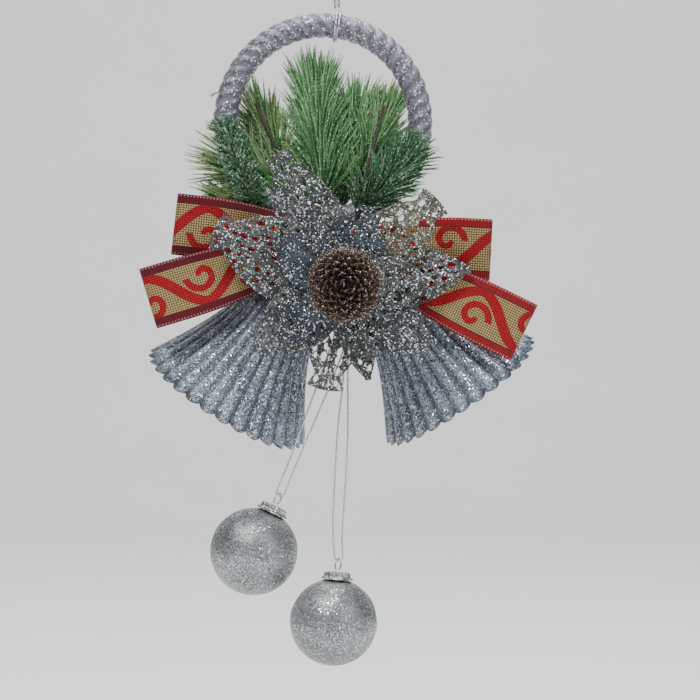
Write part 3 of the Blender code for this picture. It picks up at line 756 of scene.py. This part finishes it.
def stamped_cap(name, place):
    """A turned cap whose collar is ridged by a cosine and whose skirt rises and falls in scallops."""
    profile = np.array([(1.0, 22.98), (4.6, 23.02), (5.5, 22.8), (5.85, 22.3), (5.75, 21.6), (5.8, 20.9),
                        (6.5, 20.5), (7.1, 20.0), (7.2, 19.7), (6.9, 19.55), (6.3, 20.0), (5.45, 20.5),
                        (5.4, 22.3), (1.0, 22.6)])
    ridged = np.array([0, 0, 0.3, 1, 1, 1, 0.6, 0.4, 0.4, 0.3, 0, 0, 0, 0])[:, None]
    frill = np.array([0, 0, 0, 0, 0, 0.2, 0.6, 1, 1, 1, 0.6, 0, 0, 0])[:, None]
    angle = np.linspace(0.0, 2 * np.pi, 160, endpoint=False)
    scallop = (np.abs(np.cos(5 * angle)) - 0.5) * frill
    radius = profile[:, :1] + 0.28 * np.cos(20 * angle) * ridged + 0.5 * scallop
    points = turn_profile(place, radius, profile[:, 1:] + 0.35 * scallop, angle)
    return grid_object(name, points, loop_rows=True, loop_columns=True)


def cap_loop(name, ring_top, up, turn_degrees):
    """A wire bent to a narrow arch: an ellipse that tapers to its top, with its legs down in the cap."""
    lean = np.radians(turn_degrees)
    across = np.cross(AWAY, up) * np.sin(lean) + AWAY * np.cos(lean)
    turn = np.linspace(-0.35 * np.pi, 1.35 * np.pi, 61)
    narrow = 0.9 * (1.0 - 0.25 * np.sin(turn))
    path = out_from(ring_top, (across, RING_RADIUS * np.cos(turn) * narrow),
                    (up, RING_RADIUS * np.sin(turn) - 3.0))
    return wire(name, path * MM, 0.8 * MM, np.cross(across, up))


for side, tilt_degrees, nub in (("left", 24.5, None), ("right", 4.5, (1.69, -0.5 * np.pi - 0.35))):
    up = spoke(np.radians(90.0 - tilt_degrees))
    place = turned_frame(RING_TOPS[side] - 29.6 * up, up)
    body = f"hanging_ball_{side}"
    dress(coated_ball(f"glitter_ball_{side}", place, nub), BALL_GLITTER, body, "ball_glitter", f"ball_{side}")
    dress(stamped_cap(f"stamped_cap_{side}", place), CAP_SILVER, body, "cap_silver", f"ball_cap_{side}")
    loop = cap_loop(f"cap_loop_{side}", RING_TOPS[side], up, 34.0)
    dress(loop, SILVER_WIRE, body, "ring_wire", f"ball_ring_{side}")

# %% [markdown]
# ## Ribbon cloth
# The bow is made of a stiff woven ribbon: a gold open weave in the middle, a red scroll woven over
# it, and a ribbed red edge on both sides with a row of pale stitches. The pattern follows the
# cloth, so it reads the ribbon's own UV map, which is in metres along and across the cloth. The
# scroll is a wave with an open ring curled into each of its bends, drawn from distances alone.

# %% Weave group
def build_weave():
    """Rounded threads crossing over and under: height, a dot at each crossing, and which lies on top."""
    tree, given, result = new_group("weave", [("Along", "Float", 0.0), ("Across", "Float", 0.0),
                                              ("Thread", "Float", 0.0006)],
                                    [("Height", "Float"), ("Dot", "Float"), ("Over", "Float")])
    warp, weft = given["Across"] / given["Thread"], given["Along"] / given["Thread"]
    over = abs((warp.node("FLOOR") + weft.node("FLOOR")).node("MODULO", 2.0))
    feed(result, Height=warp.fold() * over + weft.fold() * (1.0 - over), Dot=warp.fold() * weft.fold(),
         Over=over)
    return tree


def build_scroll():
    """A running wave across the ribbon's middle, and a broken ring in each bend: 1 inside the red lines."""
    tree, given, result = new_group("scroll", [("Along", "Float", 0.0), ("Across", "Float", 0.0),
                                               ("Repeat", "Float", 0.05), ("Line", "Float", 0.0021)],
                                    [("Red", "Float")])
    along, across, line = given["Along"], given["Across"], given["Line"]
    phase = along / given["Repeat"] * (2 * math.pi)
    from_wave = abs(across - phase.node("SINE") * 0.0082)
    stem = from_wave < line * (abs(phase.node("COSINE")) * 0.9 + 0.75)
    half = given["Repeat"] * 0.5
    bend = (along / half - 0.5).node("ROUND")
    away = along - (bend + 0.5) * half
    above = across - (abs(bend.node("MODULO", 2.0)) * 0.0070 - 0.0035)
    ring = (away * away + above * above).node("SQRT")
    curl = above.node("ARCTAN2", away) * 0.0011 + 0.0041
    feed(result, Red=stem.node("MAXIMUM", abs(ring - curl) < line * 0.75))
    return tree


WEAVE, SCROLL = build_weave(), build_scroll()

# %% Ribbon finish
RIBBON_WIDTH = 28.0
BORDER = 4.4 * MM


def ribbon_material(name, border_dark, border_bright):
    """Gold weave, red scroll, ribbed edges with stitches, and a dark thread where edge and weave meet."""
    material, tree, shader = new_material(name, Roughness=0.6, Specular_IOR_Level=0.25)
    along, from_edge = surface_uv(tree)
    across = from_edge - RIBBON_WIDTH / 2 * MM
    edge_distance = RIBBON_WIDTH / 2 * MM - abs(across)
    weave = use_group(tree, WEAVE, Along=along, Across=across, Thread=1.1 * MM)
    scroll = use_group(tree, SCROLL, Along=along, Across=across)
    bead = step_between(tree, weave["Dot"], 0.05, 0.5)
    gold = blend_colours(tree, bead, (0.08, 0.035, 0.012), (0.56, 0.45, 0.22))
    gold = blend_colours(tree, weave["Over"] * 0.35, gold, (0.30, 0.21, 0.08))
    red = blend_colours(tree, bead, (0.17, 0.002, 0.006), (0.44, 0.006, 0.010))
    middle = blend_colours(tree, scroll["Red"], gold, red)
    rib = (along / (0.9 * MM)).fold()
    border = blend_colours(tree, rib, border_dark, border_bright)
    stitch = (along / (1.5 * MM)).node("PINGPONG", 0.5) > 0.27
    row = abs(edge_distance - 0.75 * MM) < 0.32 * MM
    border = blend_colours(tree, stitch * row * 0.75, border, (0.42, 0.22, 0.20))
    inner_row = abs(edge_distance - (BORDER - 0.3 * MM)) < 0.3 * MM
    border = blend_colours(tree, inner_row, border, (0.10, 0.008, 0.012))
    in_border = edge_distance < BORDER
    inside = 1.0 - in_border
    feed(shader.inputs, Base_Color=blend_colours(tree, in_border, middle, border),
         Metallic=inside * (scroll["Red"] * -0.4 + 0.55),
         Normal=relief(tree, weave["Height"] * inside + rib * in_border, 0.6, 0.3 * MM))
    return material


# The two copies differ only in their edges: darker on the left loops and the knot, brighter on the right
# loops. This is painted shade and painted light on one cloth.
RIBBONS = {"left": ribbon_material("ribbon_painted_shade_left", (0.03, 0.002, 0.006), (0.15, 0.006, 0.014)),
           "right": ribbon_material("ribbon_painted_light_right", (0.08, 0.002, 0.005), (0.34, 0.008, 0.012))}

# %% [markdown]
# ## The bow
# Each of the four loops is one length of ribbon that leaves the knot, turns over in a flat fold
# and comes back. Near the knot the cloth is gathered into pleats and narrows to less than half its
# width. The loop is worked out as a function of two numbers, how far along the ribbon and how far
# across it, and gets the thickness of cloth from Solidify.

# %% Bow loops
BOW_CENTRE = np.array([0.5, 0.0, -157.8])
PINCH, HALF_DEPTH, KNOT_HALF = 0.42, 3.2, 5.0
LOOPS = {"upper_left": (74.9, 173.6, -11.85, -11.85), "lower_left": (89.8, 196.8, -19.65, -20.65),
         "upper_right": (69.8, -3.0, -11.85, -11.85), "lower_right": (93.6, -26.3, -19.65, -27.65)}


def thicken(sheet, thickness, offset=0.0):
    """Gives a sheet its thickness; with offset 0, half of it goes to each side."""
    wall = sheet.modifiers.new("wall", "SOLIDIFY")
    wall.thickness = thickness
    wall.offset = offset
    return sheet


def ribbon_loop(name, length, angle_degrees, start_y, end_y, steps=150, threads=30):
    """Out, round a half circle and back; width and pleats both follow how near the knot a point is."""
    angle = np.radians(angle_degrees)
    corner = 0.5 * RIBBON_WIDTH * PINCH * abs(np.sin(angle))
    start = (KNOT_HALF + corner) / abs(np.cos(angle)) + 0.3
    straight = length - HALF_DEPTH - start
    total = 2 * straight + np.pi * HALF_DEPTH
    run = np.linspace(0.0, total, steps)[:, None]
    v = np.linspace(0.0, 1.0, threads)
    bend = np.clip((run - straight) / HALF_DEPTH, 0.0, np.pi)
    back_again = np.maximum(run - straight - np.pi * HALF_DEPTH, 0.0)
    reach = start + np.minimum(run, straight) + HALF_DEPTH * np.sin(bend) - back_again
    share = (reach - start) / (length - start)
    width = RIBBON_WIDTH * (PINCH + (1 - PINCH) * np.sin(0.5 * np.pi * np.minimum(1.0, 1.25 * share)))
    pleat = (1.0 - share) ** 1.6 * (0.5 + 0.5 * np.cos(6 * np.pi * v))
    wave = 0.22 * np.sin(run / 9.0) * np.cos(np.pi * v) * share
    fullness = 1.0 - 0.42 * pleat - 0.07 * np.cos(np.pi * (v - 0.5)) * share
    depth = start_y + (end_y - start_y) * share + HALF_DEPTH * np.cos(bend) * fullness + wave
    points = out_from(BOW_CENTRE, (spoke(angle), reach), (spoke(angle + np.pi / 2), (v - 0.5) * width),
                      (AWAY, depth))
    loop = grid_object(name, points * MM, grid_uv(run[:, 0] * MM, v * RIBBON_WIDTH * MM), weld=False)
    return thicken(loop, 0.5 * MM), total * MM


for place, (length, angle_degrees, start_y, end_y) in LOOPS.items():
    side = place.split("_")[1]
    loop, cut_length = ribbon_loop(f"bow_loop_{place}", length, angle_degrees, start_y, end_y)
    dress(loop, RIBBONS[side], "ornament", "ribbon", f"ribbon_loop_{place}")
    print(place, "loop cut", round(cut_length / MM), "mm long")

# %% Bow knot
def knot_wrap(steps=96, columns=25):
    """A short band round the loops' roots: a rounded box in section, waisted, with gathers along it."""
    back, front, half_height = -8.65, -22.85, 8.48
    turn = np.linspace(0.0, 2 * np.pi, steps, endpoint=False)[:, None]
    v = np.linspace(-1.0, 1.0, columns)
    boxy = (np.abs(np.cos(turn)) ** 5 + np.abs(np.sin(turn)) ** 5) ** (-1 / 5)
    gather = 0.35 * np.cos(3.5 * np.pi * v) * (0.75 + 0.25 * np.sin(2 * turn))
    waist = 1.0 - 0.05 * (1.0 - v ** 2)
    y = (back + front) / 2 + (((back - front) / 2 - 0.7) * waist + gather) * boxy * np.cos(turn)
    z = ((half_height - 0.7) * waist + gather) * boxy * np.sin(turn)
    points = (np.stack([KNOT_HALF * 0.86 * v + 0 * y, y, z], axis=-1) + BOW_CENTRE * [1, 0, 1]) * MM
    run = run_along(np.vstack([points[:, columns // 2], points[:1, columns // 2]]))
    uv = grid_uv(run, (v + 1) * RIBBON_WIDTH / 2 * MM)
    wrap = grid_object("bow_knot_wrap", points, uv, loop_rows=True, weld=False)
    return thicken(wrap, 0.5 * MM), float(run[-1])


wrap, wrap_length = knot_wrap()
# The knot takes the left copy of the ribbon, with painted shade in its edges.
dress(wrap, RIBBONS["left"], "ornament", "ribbon", "bow_knot")

# %% [markdown]
# ## Lace petals
# The flower's petals are stamped from glittered lace: a solid rim and midrib, and between them a
# web round long, uneven holes. Real holes matter here, because the bow shows through them. Hole
# middles are scattered over each petal on a shaken grid, each with its own size, and the faces
# nearer to a middle than its size are left out. Subdivision then rounds the stepped edges of the
# holes, and Solidify gives the web its thickness.

# %% Petal finishes
def petal_material(name, dark, light, flash_share=0.10):
    """Coarse silver glitter over the web, with painted glints in near-white."""
    return glitter_material(name, dark, light, (0.88, 0.90, 0.90), flakes=2000.0, flash_share=flash_share,
                            tilt=0.65, patch=0.009, patch_depth=0.5, Roughness=0.5, Metallic=0.35)


LACE_SILVER = petal_material("lace_silver", (0.022, 0.024, 0.026), (0.16, 0.168, 0.17))
LACE_BLUE = petal_material("lace_blue_grey", (0.012, 0.017, 0.025), (0.09, 0.12, 0.15), 0.08)
LACE_CHAMPAGNE = petal_material("lace_champagne", (0.05, 0.048, 0.036), (0.26, 0.25, 0.19), 0.09)

# %% Petals
PETAL_START = 4.2
OUTER_Y, INNER_Y, LAYER_STEP = -31.15, -37.35, 1.8


def lace_petal(name, angle_degrees, length, width, y, blunt, openness, seed, pitch=0.55):
    """A leaf whose half width swells along it; blunt squares off its tip, openness sizes its holes."""
    angle = np.radians(angle_degrees)
    rows, columns = round((length - PETAL_START) / pitch), round(width / pitch)
    u, v = np.linspace(0.0, 1.0, rows)[:, None], np.linspace(-1.0, 1.0, columns)
    swell = np.clip(np.sin(np.pi * u ** 0.85), 0.0, 1.0) ** 0.8
    tip = 0.08 + blunt * np.clip((u - 0.45) / 0.55, 0.0, 1.0) ** 1.5
    half = 0.5 * width * np.maximum(swell, tip * (u > 0.45) + 0.08)
    flat_x = PETAL_START + u * (length - PETAL_START) - 0.10 * blunt * width * v ** 2 * u ** 6
    flat_y = half * v
    cup = 0.9 * v ** 2 * np.sin(np.pi * u) - 0.5 * np.exp(-(v / 0.12) ** 2) * (1 - u ** 2)
    ripple = 0.35 * np.sin(7.0 * u + 2.5 * v + seed) * u
    points = out_from(FLOWER, (spoke(angle), flat_x), (spoke(angle + np.pi / 2), flat_y),
                      (AWAY, y + cup + ripple)) * MM
    chance = np.random.default_rng(seed)
    seeds = np.stack(np.meshgrid(np.arange(PETAL_START + 4, length, 5.2),
                                 np.arange(-width / 2, width / 2 + 4, 3.9)), axis=-1).reshape(-1, 2)
    seeds = seeds + chance.uniform(-1.3, 1.3, seeds.shape)
    sizes = openness * chance.uniform(0.55, 1.25, len(seeds))
    centre_x, centre_y = (0.25 * (flat[:-1, :-1] + flat[1:, :-1] + flat[:-1, 1:] + flat[1:, 1:])
                          for flat in (flat_x, flat_y))
    gap = np.hypot((centre_x[..., None] - seeds[:, 0]) * 0.68, centre_y[..., None] - seeds[:, 1])
    from_edge = np.minimum(0.5 * (half[:-1] + half[1:]) - np.abs(centre_y), length - 0.8 - centre_x)
    closing = 1.3 * np.clip((0.5 - 0.5 * (u[:-1] + u[1:])) / 0.3, 0.0, 1.0)
    hole = ((sizes - gap).max(axis=-1) > closing) & (from_edge > 1.0) & (np.abs(centre_y) > 0.7)
    row, column = (part[~hole.reshape(-1)] for part in grid_faces(rows, columns))
    used, faces = np.unique(row * columns + column, return_inverse=True)
    faces = faces.reshape(-1, 4)
    uv = np.stack([u[row, 0], 0.5 + 0.5 * v[column]], axis=-1)
    made = mesh_object(name, points.reshape(-1, 3)[used], faces, uv, weld=False)
    rounding = made.modifiers.new("rounding", "SUBSURF")
    rounding.levels = rounding.render_levels = 1
    print(f"{name}: {len(faces)} faces, {int(hole.sum())} left out for holes")
    return thicken(made, 0.45 * MM)


# angle (degrees), length, width (mm), layer, bluntness of the tip, size of the holes (mm), finish
OUTER_PETALS = ((8, 57, 27, 0, 0.0, 1.15, LACE_SILVER), (43, 57, 30, 1, 0.38, 1.2, LACE_CHAMPAGNE),
                (117, 67, 30, 0, 0.25, 1.15, LACE_SILVER), (157, 64, 37, 1, 0.3, 1.0, LACE_SILVER),
                (215, 48, 30, 2, 0.25, 1.1, LACE_SILVER), (259, 48, 24, 0, 0.55, 1.4, LACE_SILVER),
                (284, 44, 17, 1, 0.0, 0.9, LACE_SILVER), (322, 47, 30, 2, 0.2, 1.1, LACE_SILVER))
INNER_PETALS = ((75, 37, 24, 0, 0.15, 1.1, LACE_BLUE), (3, 38, 24, 1, 0.0, 1.2, LACE_SILVER),
                (291, 35, 24, 0, 0.1, 0.9, LACE_SILVER), (219, 37, 24, 1, 0.1, 1.0, LACE_BLUE),
                (147, 37, 24, 2, 0.15, 1.1, LACE_BLUE))
for ring, petals, ring_y in (("outer", OUTER_PETALS, OUTER_Y), ("inner", INNER_PETALS, INNER_Y)):
    for number, (angle_degrees, length, width, layer, blunt, openness, finish) in enumerate(petals, 1):
        seed = number + (20 if ring == "inner" else 0)
        leaf = lace_petal(f"lace_petal_{ring}_{number}", angle_degrees, length, width,
                          ring_y - LAYER_STEP * layer, blunt, openness, seed)
        dress(leaf, finish, "ornament", "glitter_lace", f"petal_{ring}_{number}")

# %% [markdown]
# ## Pine cone
# The flower's middle is a small real cone, seen from its top, with copper glitter on the scales'
# edges. Scales sit on a dome in the spiral that plants use: each is turned 137.5 degrees from the
# one before. One scale is a small curved shield; all of them are placed together as one array.
# A fringe of fine bracts stands between the scales and gives the cone its fuzzy outline.

# %% Cone finish
def cone_material():
    """Brown woody scales, painted nearly black towards each scale's foot as shade for the hollows, with
    copper flakes and painted silver glints towards each edge.
    """
    material, tree, shader = new_material("cone_brown", Roughness=0.6, Specular_IOR_Level=0.4)
    along = surface_uv(tree)[0]
    out = use_group(tree, GLITTER, Flakes_per_metre=2200.0, Flash_share=0.12, Tilt=0.8, Patch_size=0.005)
    # Painted shade: each scale runs from near-black at its foot, where the hollows are, to brown.
    wood_with_painted_shade = blend_colours(tree, along, (0.006, 0.005, 0.005), (0.05, 0.026, 0.018))
    edge = step_between(tree, along, 0.35, 0.95) * step_between(tree, out["Shade"], 0.3, 0.7)
    # Painted glints: flash flakes towards the edges are painted pale and made metallic.
    flash = out["Flash"] * step_between(tree, along, 0.2, 0.6)
    colour = blend_colours(tree, edge * 0.8, wood_with_painted_shade, (0.12, 0.068, 0.044))
    colour = blend_colours(tree, flash, colour, (0.85, 0.72, 0.64))
    feed(shader.inputs, Base_Color=colour, Metallic=flash, Normal=out["Normal"])
    return material


CONE_BROWN = cone_material()

# %% Cone
CONE_CENTRE, CONE_RADIUS, CONE_DEPTH = np.array([3.7, -49.55, -178.0]), 14.7, 15.0


def dome_frames(count, first_angle, last_angle, lean):
    """Places spiralling over a dome that faces the viewer, each with its heading, side and bulge."""
    number = np.arange(count)
    radial = spoke(number * np.radians(137.508))
    polar = (first_angle + (last_angle - first_angle) * np.sqrt(number / (count - 1)))[:, None]
    foot = (CONE_CENTRE + radial * (CONE_RADIUS - 3.4) * np.sin(polar)
            - AWAY * (CONE_DEPTH / 2 - 3.0) * np.cos(polar))
    outward = radial * np.sin(polar) - AWAY * np.cos(polar)
    slope = radial * np.cos(polar) + AWAY * np.sin(polar)
    heading = unit(outward * np.cos(lean) - slope * np.sin(lean))
    side = unit(np.cross(heading, slope))
    return foot, heading, side, np.cross(side, heading)


def repeat_faces(one, count, size):
    """The faces of one small mesh, repeated for each copy of its points."""
    return (one[None] + (np.arange(count) * size)[:, None, None]).reshape(-1, 4)


def repeat_on(name, frames, shape, uv_shape):
    """The same small grid set in every frame: shape is (rows, columns, 3) along heading, side and bulge."""
    foot, *directions = (part[:, None, None] for part in frames)
    points = out_from(foot, *zip(directions, np.moveaxis(shape, -1, 0))) * MM
    count, rows, columns = points.shape[:3]
    row, column = grid_faces(rows, columns)
    faces = repeat_faces(row * columns + column, count, rows * columns)
    corner_uv = np.tile(uv_shape[row, column], (count, 1, 1))
    print(f"{name}: {count} copies, {len(faces)} faces")
    return mesh_object(name, points.reshape(-1, 3), faces, corner_uv, weld=False)


def cone_scale():
    """A shield: its half width swells as a sine, its face bulges, and its tip curls outward."""
    u, v = np.meshgrid(np.linspace(0.0, 1.0, 6), np.linspace(-1.0, 1.0, 5), indexing="ij")
    half = 2.3 * np.clip(np.sin(np.pi * (0.12 + 0.80 * u)), 0.05, 1.0)
    shape = np.stack([4.6 * u, half * v, 0.7 * (1 - v ** 2) * u + 1.0 * u ** 3], axis=-1)
    return shape, np.stack([u, 0.5 + 0.5 * v], axis=-1)


scales = repeat_on("cone_scales", dome_frames(150, 0.05, 1.9, 0.5), *cone_scale())
dress(thicken(scales, 0.5 * MM, -1.0), CONE_BROWN, "ornament", "pine_cone", "pine_cone")
u, v = np.meshgrid(np.linspace(0.0, 1.0, 5), np.linspace(-1.0, 1.0, 2), indexing="ij")
bract = np.stack([6.4 * u, 0.24 * (1.05 - u) * v, 0.9 * u ** 2], axis=-1)
bract_uv = np.stack([u, 0.5 + 0.5 * v], axis=-1)
bracts = repeat_on("cone_bracts", dome_frames(760, 0.06, 1.98, 0.1), bract, bract_uv)
dress(thicken(bracts, 0.15 * MM, -1.0), CONE_BROWN, "ornament", "pine_cone")


def cone_core():
    """The woody body under the scales: a dome, ridged by the spiral, closed at both poles."""
    polar = np.linspace(0.0, np.pi, 40)[:, None]
    turn = np.linspace(0.0, 2 * np.pi, 64, endpoint=False)
    bumps = 1.0 - 0.06 * np.abs(np.sin(4 * turn + 9 * polar)) * np.sin(polar)
    points = out_from(CONE_CENTRE, (spoke(turn), (CONE_RADIUS - 3.0) * np.sin(polar) * bumps),
                      (AWAY, -(CONE_DEPTH / 2 - 2.4) * np.cos(polar))) * MM
    # Its UV sets it at the near-black end of the scale colour: painted shade for the gaps between scales.
    return grid_object("cone_core", points, grid_uv(np.full(40, 0.25), np.zeros(65)), loop_columns=True)


dress(cone_core(), CONE_BROWN, "ornament", "pine_cone")

# %% [markdown]
# ## Calyx and stem
# Behind the petals a moulded green cup holds them together, on a bound wire stem that runs back
# over the bow to the foot of the hoop. They keep their CAD shapes and get a real finish.

# %% Moulded green
def moulded_material(name, colour, worn, scale):
    """Moulded plastic: slightly uneven colour, orange-peel relief and rubbed, paler high spots."""
    material, tree, shader = new_material(name, Specular_IOR_Level=0.45)
    patch = object_noise(tree, scale, 6.0)
    colour = blend_colours(tree, step_between(tree, patch, 0.35, 0.7), colour, worn)
    feed(shader.inputs, Base_Color=colour, Roughness=patch * 0.3 + 0.35,
         Normal=relief(tree, patch, 0.3, 0.2 * MM))
    return material


CALYX_GREEN = moulded_material("calyx_green", (0.035, 0.085, 0.04), (0.10, 0.16, 0.08), 400.0)


def refinish(node, material):
    """A CAD part whose shape is already right gets its finish."""
    coat(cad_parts[node], material)


refinish("flower_calyx", CALYX_GREEN)
refinish("flower_stem", BINDING)

# %% [markdown]
# ## Pine sprigs
# The sprigs are bottle-brush branches: film needles twisted into a wire stem. A needle is a narrow
# strip, green with painted glints of white along it, and its tip fades to mint or tan. Hundreds are needed,
# so one strip with a few faces is bent and placed for all of them at once. Each needle has its own
# random length, lean and turn round the stem, from a seeded source, so every run is the same.

# %% Needle finish
def needle_material(name, base, middle, tip, glint_share=0.16):
    """Colour runs from base to tip of a needle; its own number shifts it; painted glints are pale dashes."""
    material, tree, shader = new_material(name, Roughness=0.38, Specular_IOR_Level=0.6, Sheen_Weight=0.1)
    along, own = surface_uv(tree)
    colour = blend_colours(tree, step_between(tree, along, 0.0, 0.6), base, middle)
    colour = blend_colours(tree, step_between(tree, along, 0.55, 1.0) * (own * 0.6 + 0.4), colour, tip)
    colour = blend_colours(tree, own * -0.45 + 0.45, colour, (0.004, 0.02, 0.008))
    place = add_node(tree, "TexCoord").outputs["Object"]
    dash = add_node(tree, "TexVoronoi", {"Vector": place, "Scale": 1900.0}).outputs["Color"]
    lot = Number(add_node(tree, "SeparateColor", {"Color": dash}).outputs[0])
    # Painted glints: a share of Voronoi cells is painted pale and made part metallic.
    glint = lot > 1.0 - glint_share
    colour = blend_colours(tree, glint * 0.8, colour, (0.60, 0.72, 0.48))
    feed(shader.inputs, Base_Color=colour, Metallic=glint * 0.6,
         Normal=relief(tree, along * 40.0 + lot, 0.15, 0.1 * MM))
    return material


# the colours of a needle at its base, its middle and its tip
NEEDLES_BRIGHT = needle_material("needles_mint", (0.008, 0.05, 0.016), (0.045, 0.22, 0.055),
                                 (0.24, 0.52, 0.20))
# A darker copy of the needle colours, used for the short needles in front of the hoop: painted shade.
NEEDLES_PAINTED_SHADE = needle_material("needles_painted_shade", (0.004, 0.03, 0.013), (0.016, 0.095, 0.04),
                               (0.06, 0.22, 0.09))
NEEDLES_TAN = needle_material("needles_tan", (0.012, 0.12, 0.02), (0.07, 0.34, 0.06),
                              (0.46, 0.44, 0.24), 0.2)
STEM_BROWN = moulded_material("stem_wrap", (0.03, 0.022, 0.018), (0.09, 0.07, 0.05), 700.0)

# %% Sprigs
def sprig(name, foot, tip, y, count, length, spread, material, seed, flat=0.22, bow=0.06):
    """Needles along a straight stem: each leans out from the stem by its own angle and bows back a little."""
    chance = np.random.default_rng(seed)
    foot, tip = (np.array([x, y, z], dtype=float) for x, z in (foot, tip))
    axis = unit(tip - foot)
    share = np.sort(chance.uniform(0.0, 1.0, count)) ** 0.9
    turn = chance.uniform(0.0, 2 * np.pi, count)
    lean = np.radians(chance.uniform(spread[0], spread[1], count)) * (1.0 - 0.45 * share)
    own_length = (length * chance.uniform(0.7, 1.08, count))[:, None]
    heading = unit(out_from(0.0, (axis, np.cos(lean)), (np.cross(AWAY, axis), np.sin(lean) * np.cos(turn)),
                            (AWAY, np.sin(lean) * flat * np.sin(turn))))
    along = np.linspace(0.0, 1.0, 6)
    start = foot + (tip - foot) * share[:, None]
    middle = out_from(start[:, None], (heading[:, None], along * own_length),
                      (axis, bow * along ** 2 * own_length), (UP, -0.03 * along ** 2 * own_length))
    face = unit(np.cross(heading, unit(chance.normal(size=(count, 3)) + 1.6 * AWAY)))
    thick = unit(np.cross(heading, face))
    half_width = (0.42 * (1.0 - along ** 4) + 0.08)[None, :, None]
    corners = [middle + across * half_width * face[:, None] + through * 0.07 * thick[:, None]
               for across, through in ((1, 1), (-1, 1), (-1, -1), (1, -1))]
    points = np.stack(corners, axis=2) * MM
    rows, sides = len(along), 4
    row, column = grid_faces(rows, sides, loop_columns=True)
    ends = np.array([[0, 3, 2, 1], 4 * rows - 4 + np.arange(4)])
    faces = repeat_faces(np.vstack([row * sides + column % sides, ends]), count, rows * sides)
    u_corner = np.concatenate([row / (rows - 1), [[0.0] * 4, [1.0] * 4]])
    own = chance.uniform(0.0, 1.0, count)[:, None, None]
    corner_uv = np.stack(np.broadcast_arrays(u_corner[None], own), axis=-1).reshape(-1, 4, 2)
    made = mesh_object(name, points.reshape(-1, 3), faces, corner_uv, smooth=False, weld=False)
    print(f"{name}: {count} needles, {len(faces)} faces")
    return dress(made, material, "ornament", "pine_needles")


# name, stem foot and tip (x, z), depth, needles, length, leans (degrees), finish, seed
SPRIGS = (("left_low", (-15, -145), (-43, -122), 10.5, 620, 28, (20, 84), NEEDLES_TAN, 1),
          ("left_high", (-17, -142), (-33, -106), 11.5, 520, 24, (12, 66), NEEDLES_TAN, 2),
          ("left_tips", (-28, -118), (-36.5, -96), 11.0, 70, 21, (4, 34), NEEDLES_TAN, 11),
          ("left_bottom", (-16, -149), (-44, -140), 9.2, 300, 24, (6, 50), NEEDLES_TAN, 9),
          ("left_front", (-35, -147), (-50.5, -107), -8.8, 560, 10, (30, 105), NEEDLES_PAINTED_SHADE, 6),
          ("centre", (-6.4, -142), (-9.5, -94), 1.0, 1300, 27.5, (6, 62), NEEDLES_BRIGHT, 3),
          ("centre_right", (2, -142), (8, -104), 3.0, 620, 26, (10, 62), NEEDLES_BRIGHT, 7),
          ("right", (9, -141), (19.5, -106), 1.5, 640, 23, (10, 66), NEEDLES_BRIGHT, 4),
          ("right_tips", (15, -120), (21.5, -98), 0.5, 90, 20, (4, 44), NEEDLES_TAN, 8),
          ("right_front", (10, -145), (31, -121), -8.9, 760, 18, (14, 80), NEEDLES_PAINTED_SHADE, 5))
for name, foot, tip, y, count, length, spread, material, seed in SPRIGS:
    sprig(f"sprig_{name}", foot, tip, y, count, length, spread, material, seed)
for side, name in (("left", "left_high"), ("centre", "centre"), ("right", "right")):
    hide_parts(f"sprig_needles_{side}")


def sprig_stem(name, route, *nodes):
    """A wire pair twisted round the needles' feet."""
    stem = wire(name, smooth_route(route, 0.45 * MM), 1.7 * MM, pitch=3.2 * MM, groove=0.25)
    return dress(stem, STEM_BROWN, "ornament", "sprig_stem", *nodes)


sprig_stem("stem_left_high", [(-12, 8.5, -154), (-17, 8, -141), (-26, 6.2, -119), (-37.5, 6, -93)],
           "sprig_stem_left")
sprig_stem("stem_left_low", [(-12, 8.95, -154), (-20, 9.3, -139), (-32, 9.5, -130), (-44, 9.5, -121)])
sprig_stem("stem_centre", [(-5, 0, -140.8), (-6.4, 0.6, -128), (-8, 1, -110), (-9.4, 1, -88)],
           "sprig_stem_centre")
sprig_stem("stem_right", [(8, -7.15, -154), (9.5, -7.1, -140), (14.5, -6.8, -122), (21.6, -6, -95)],
           "sprig_stem_right")
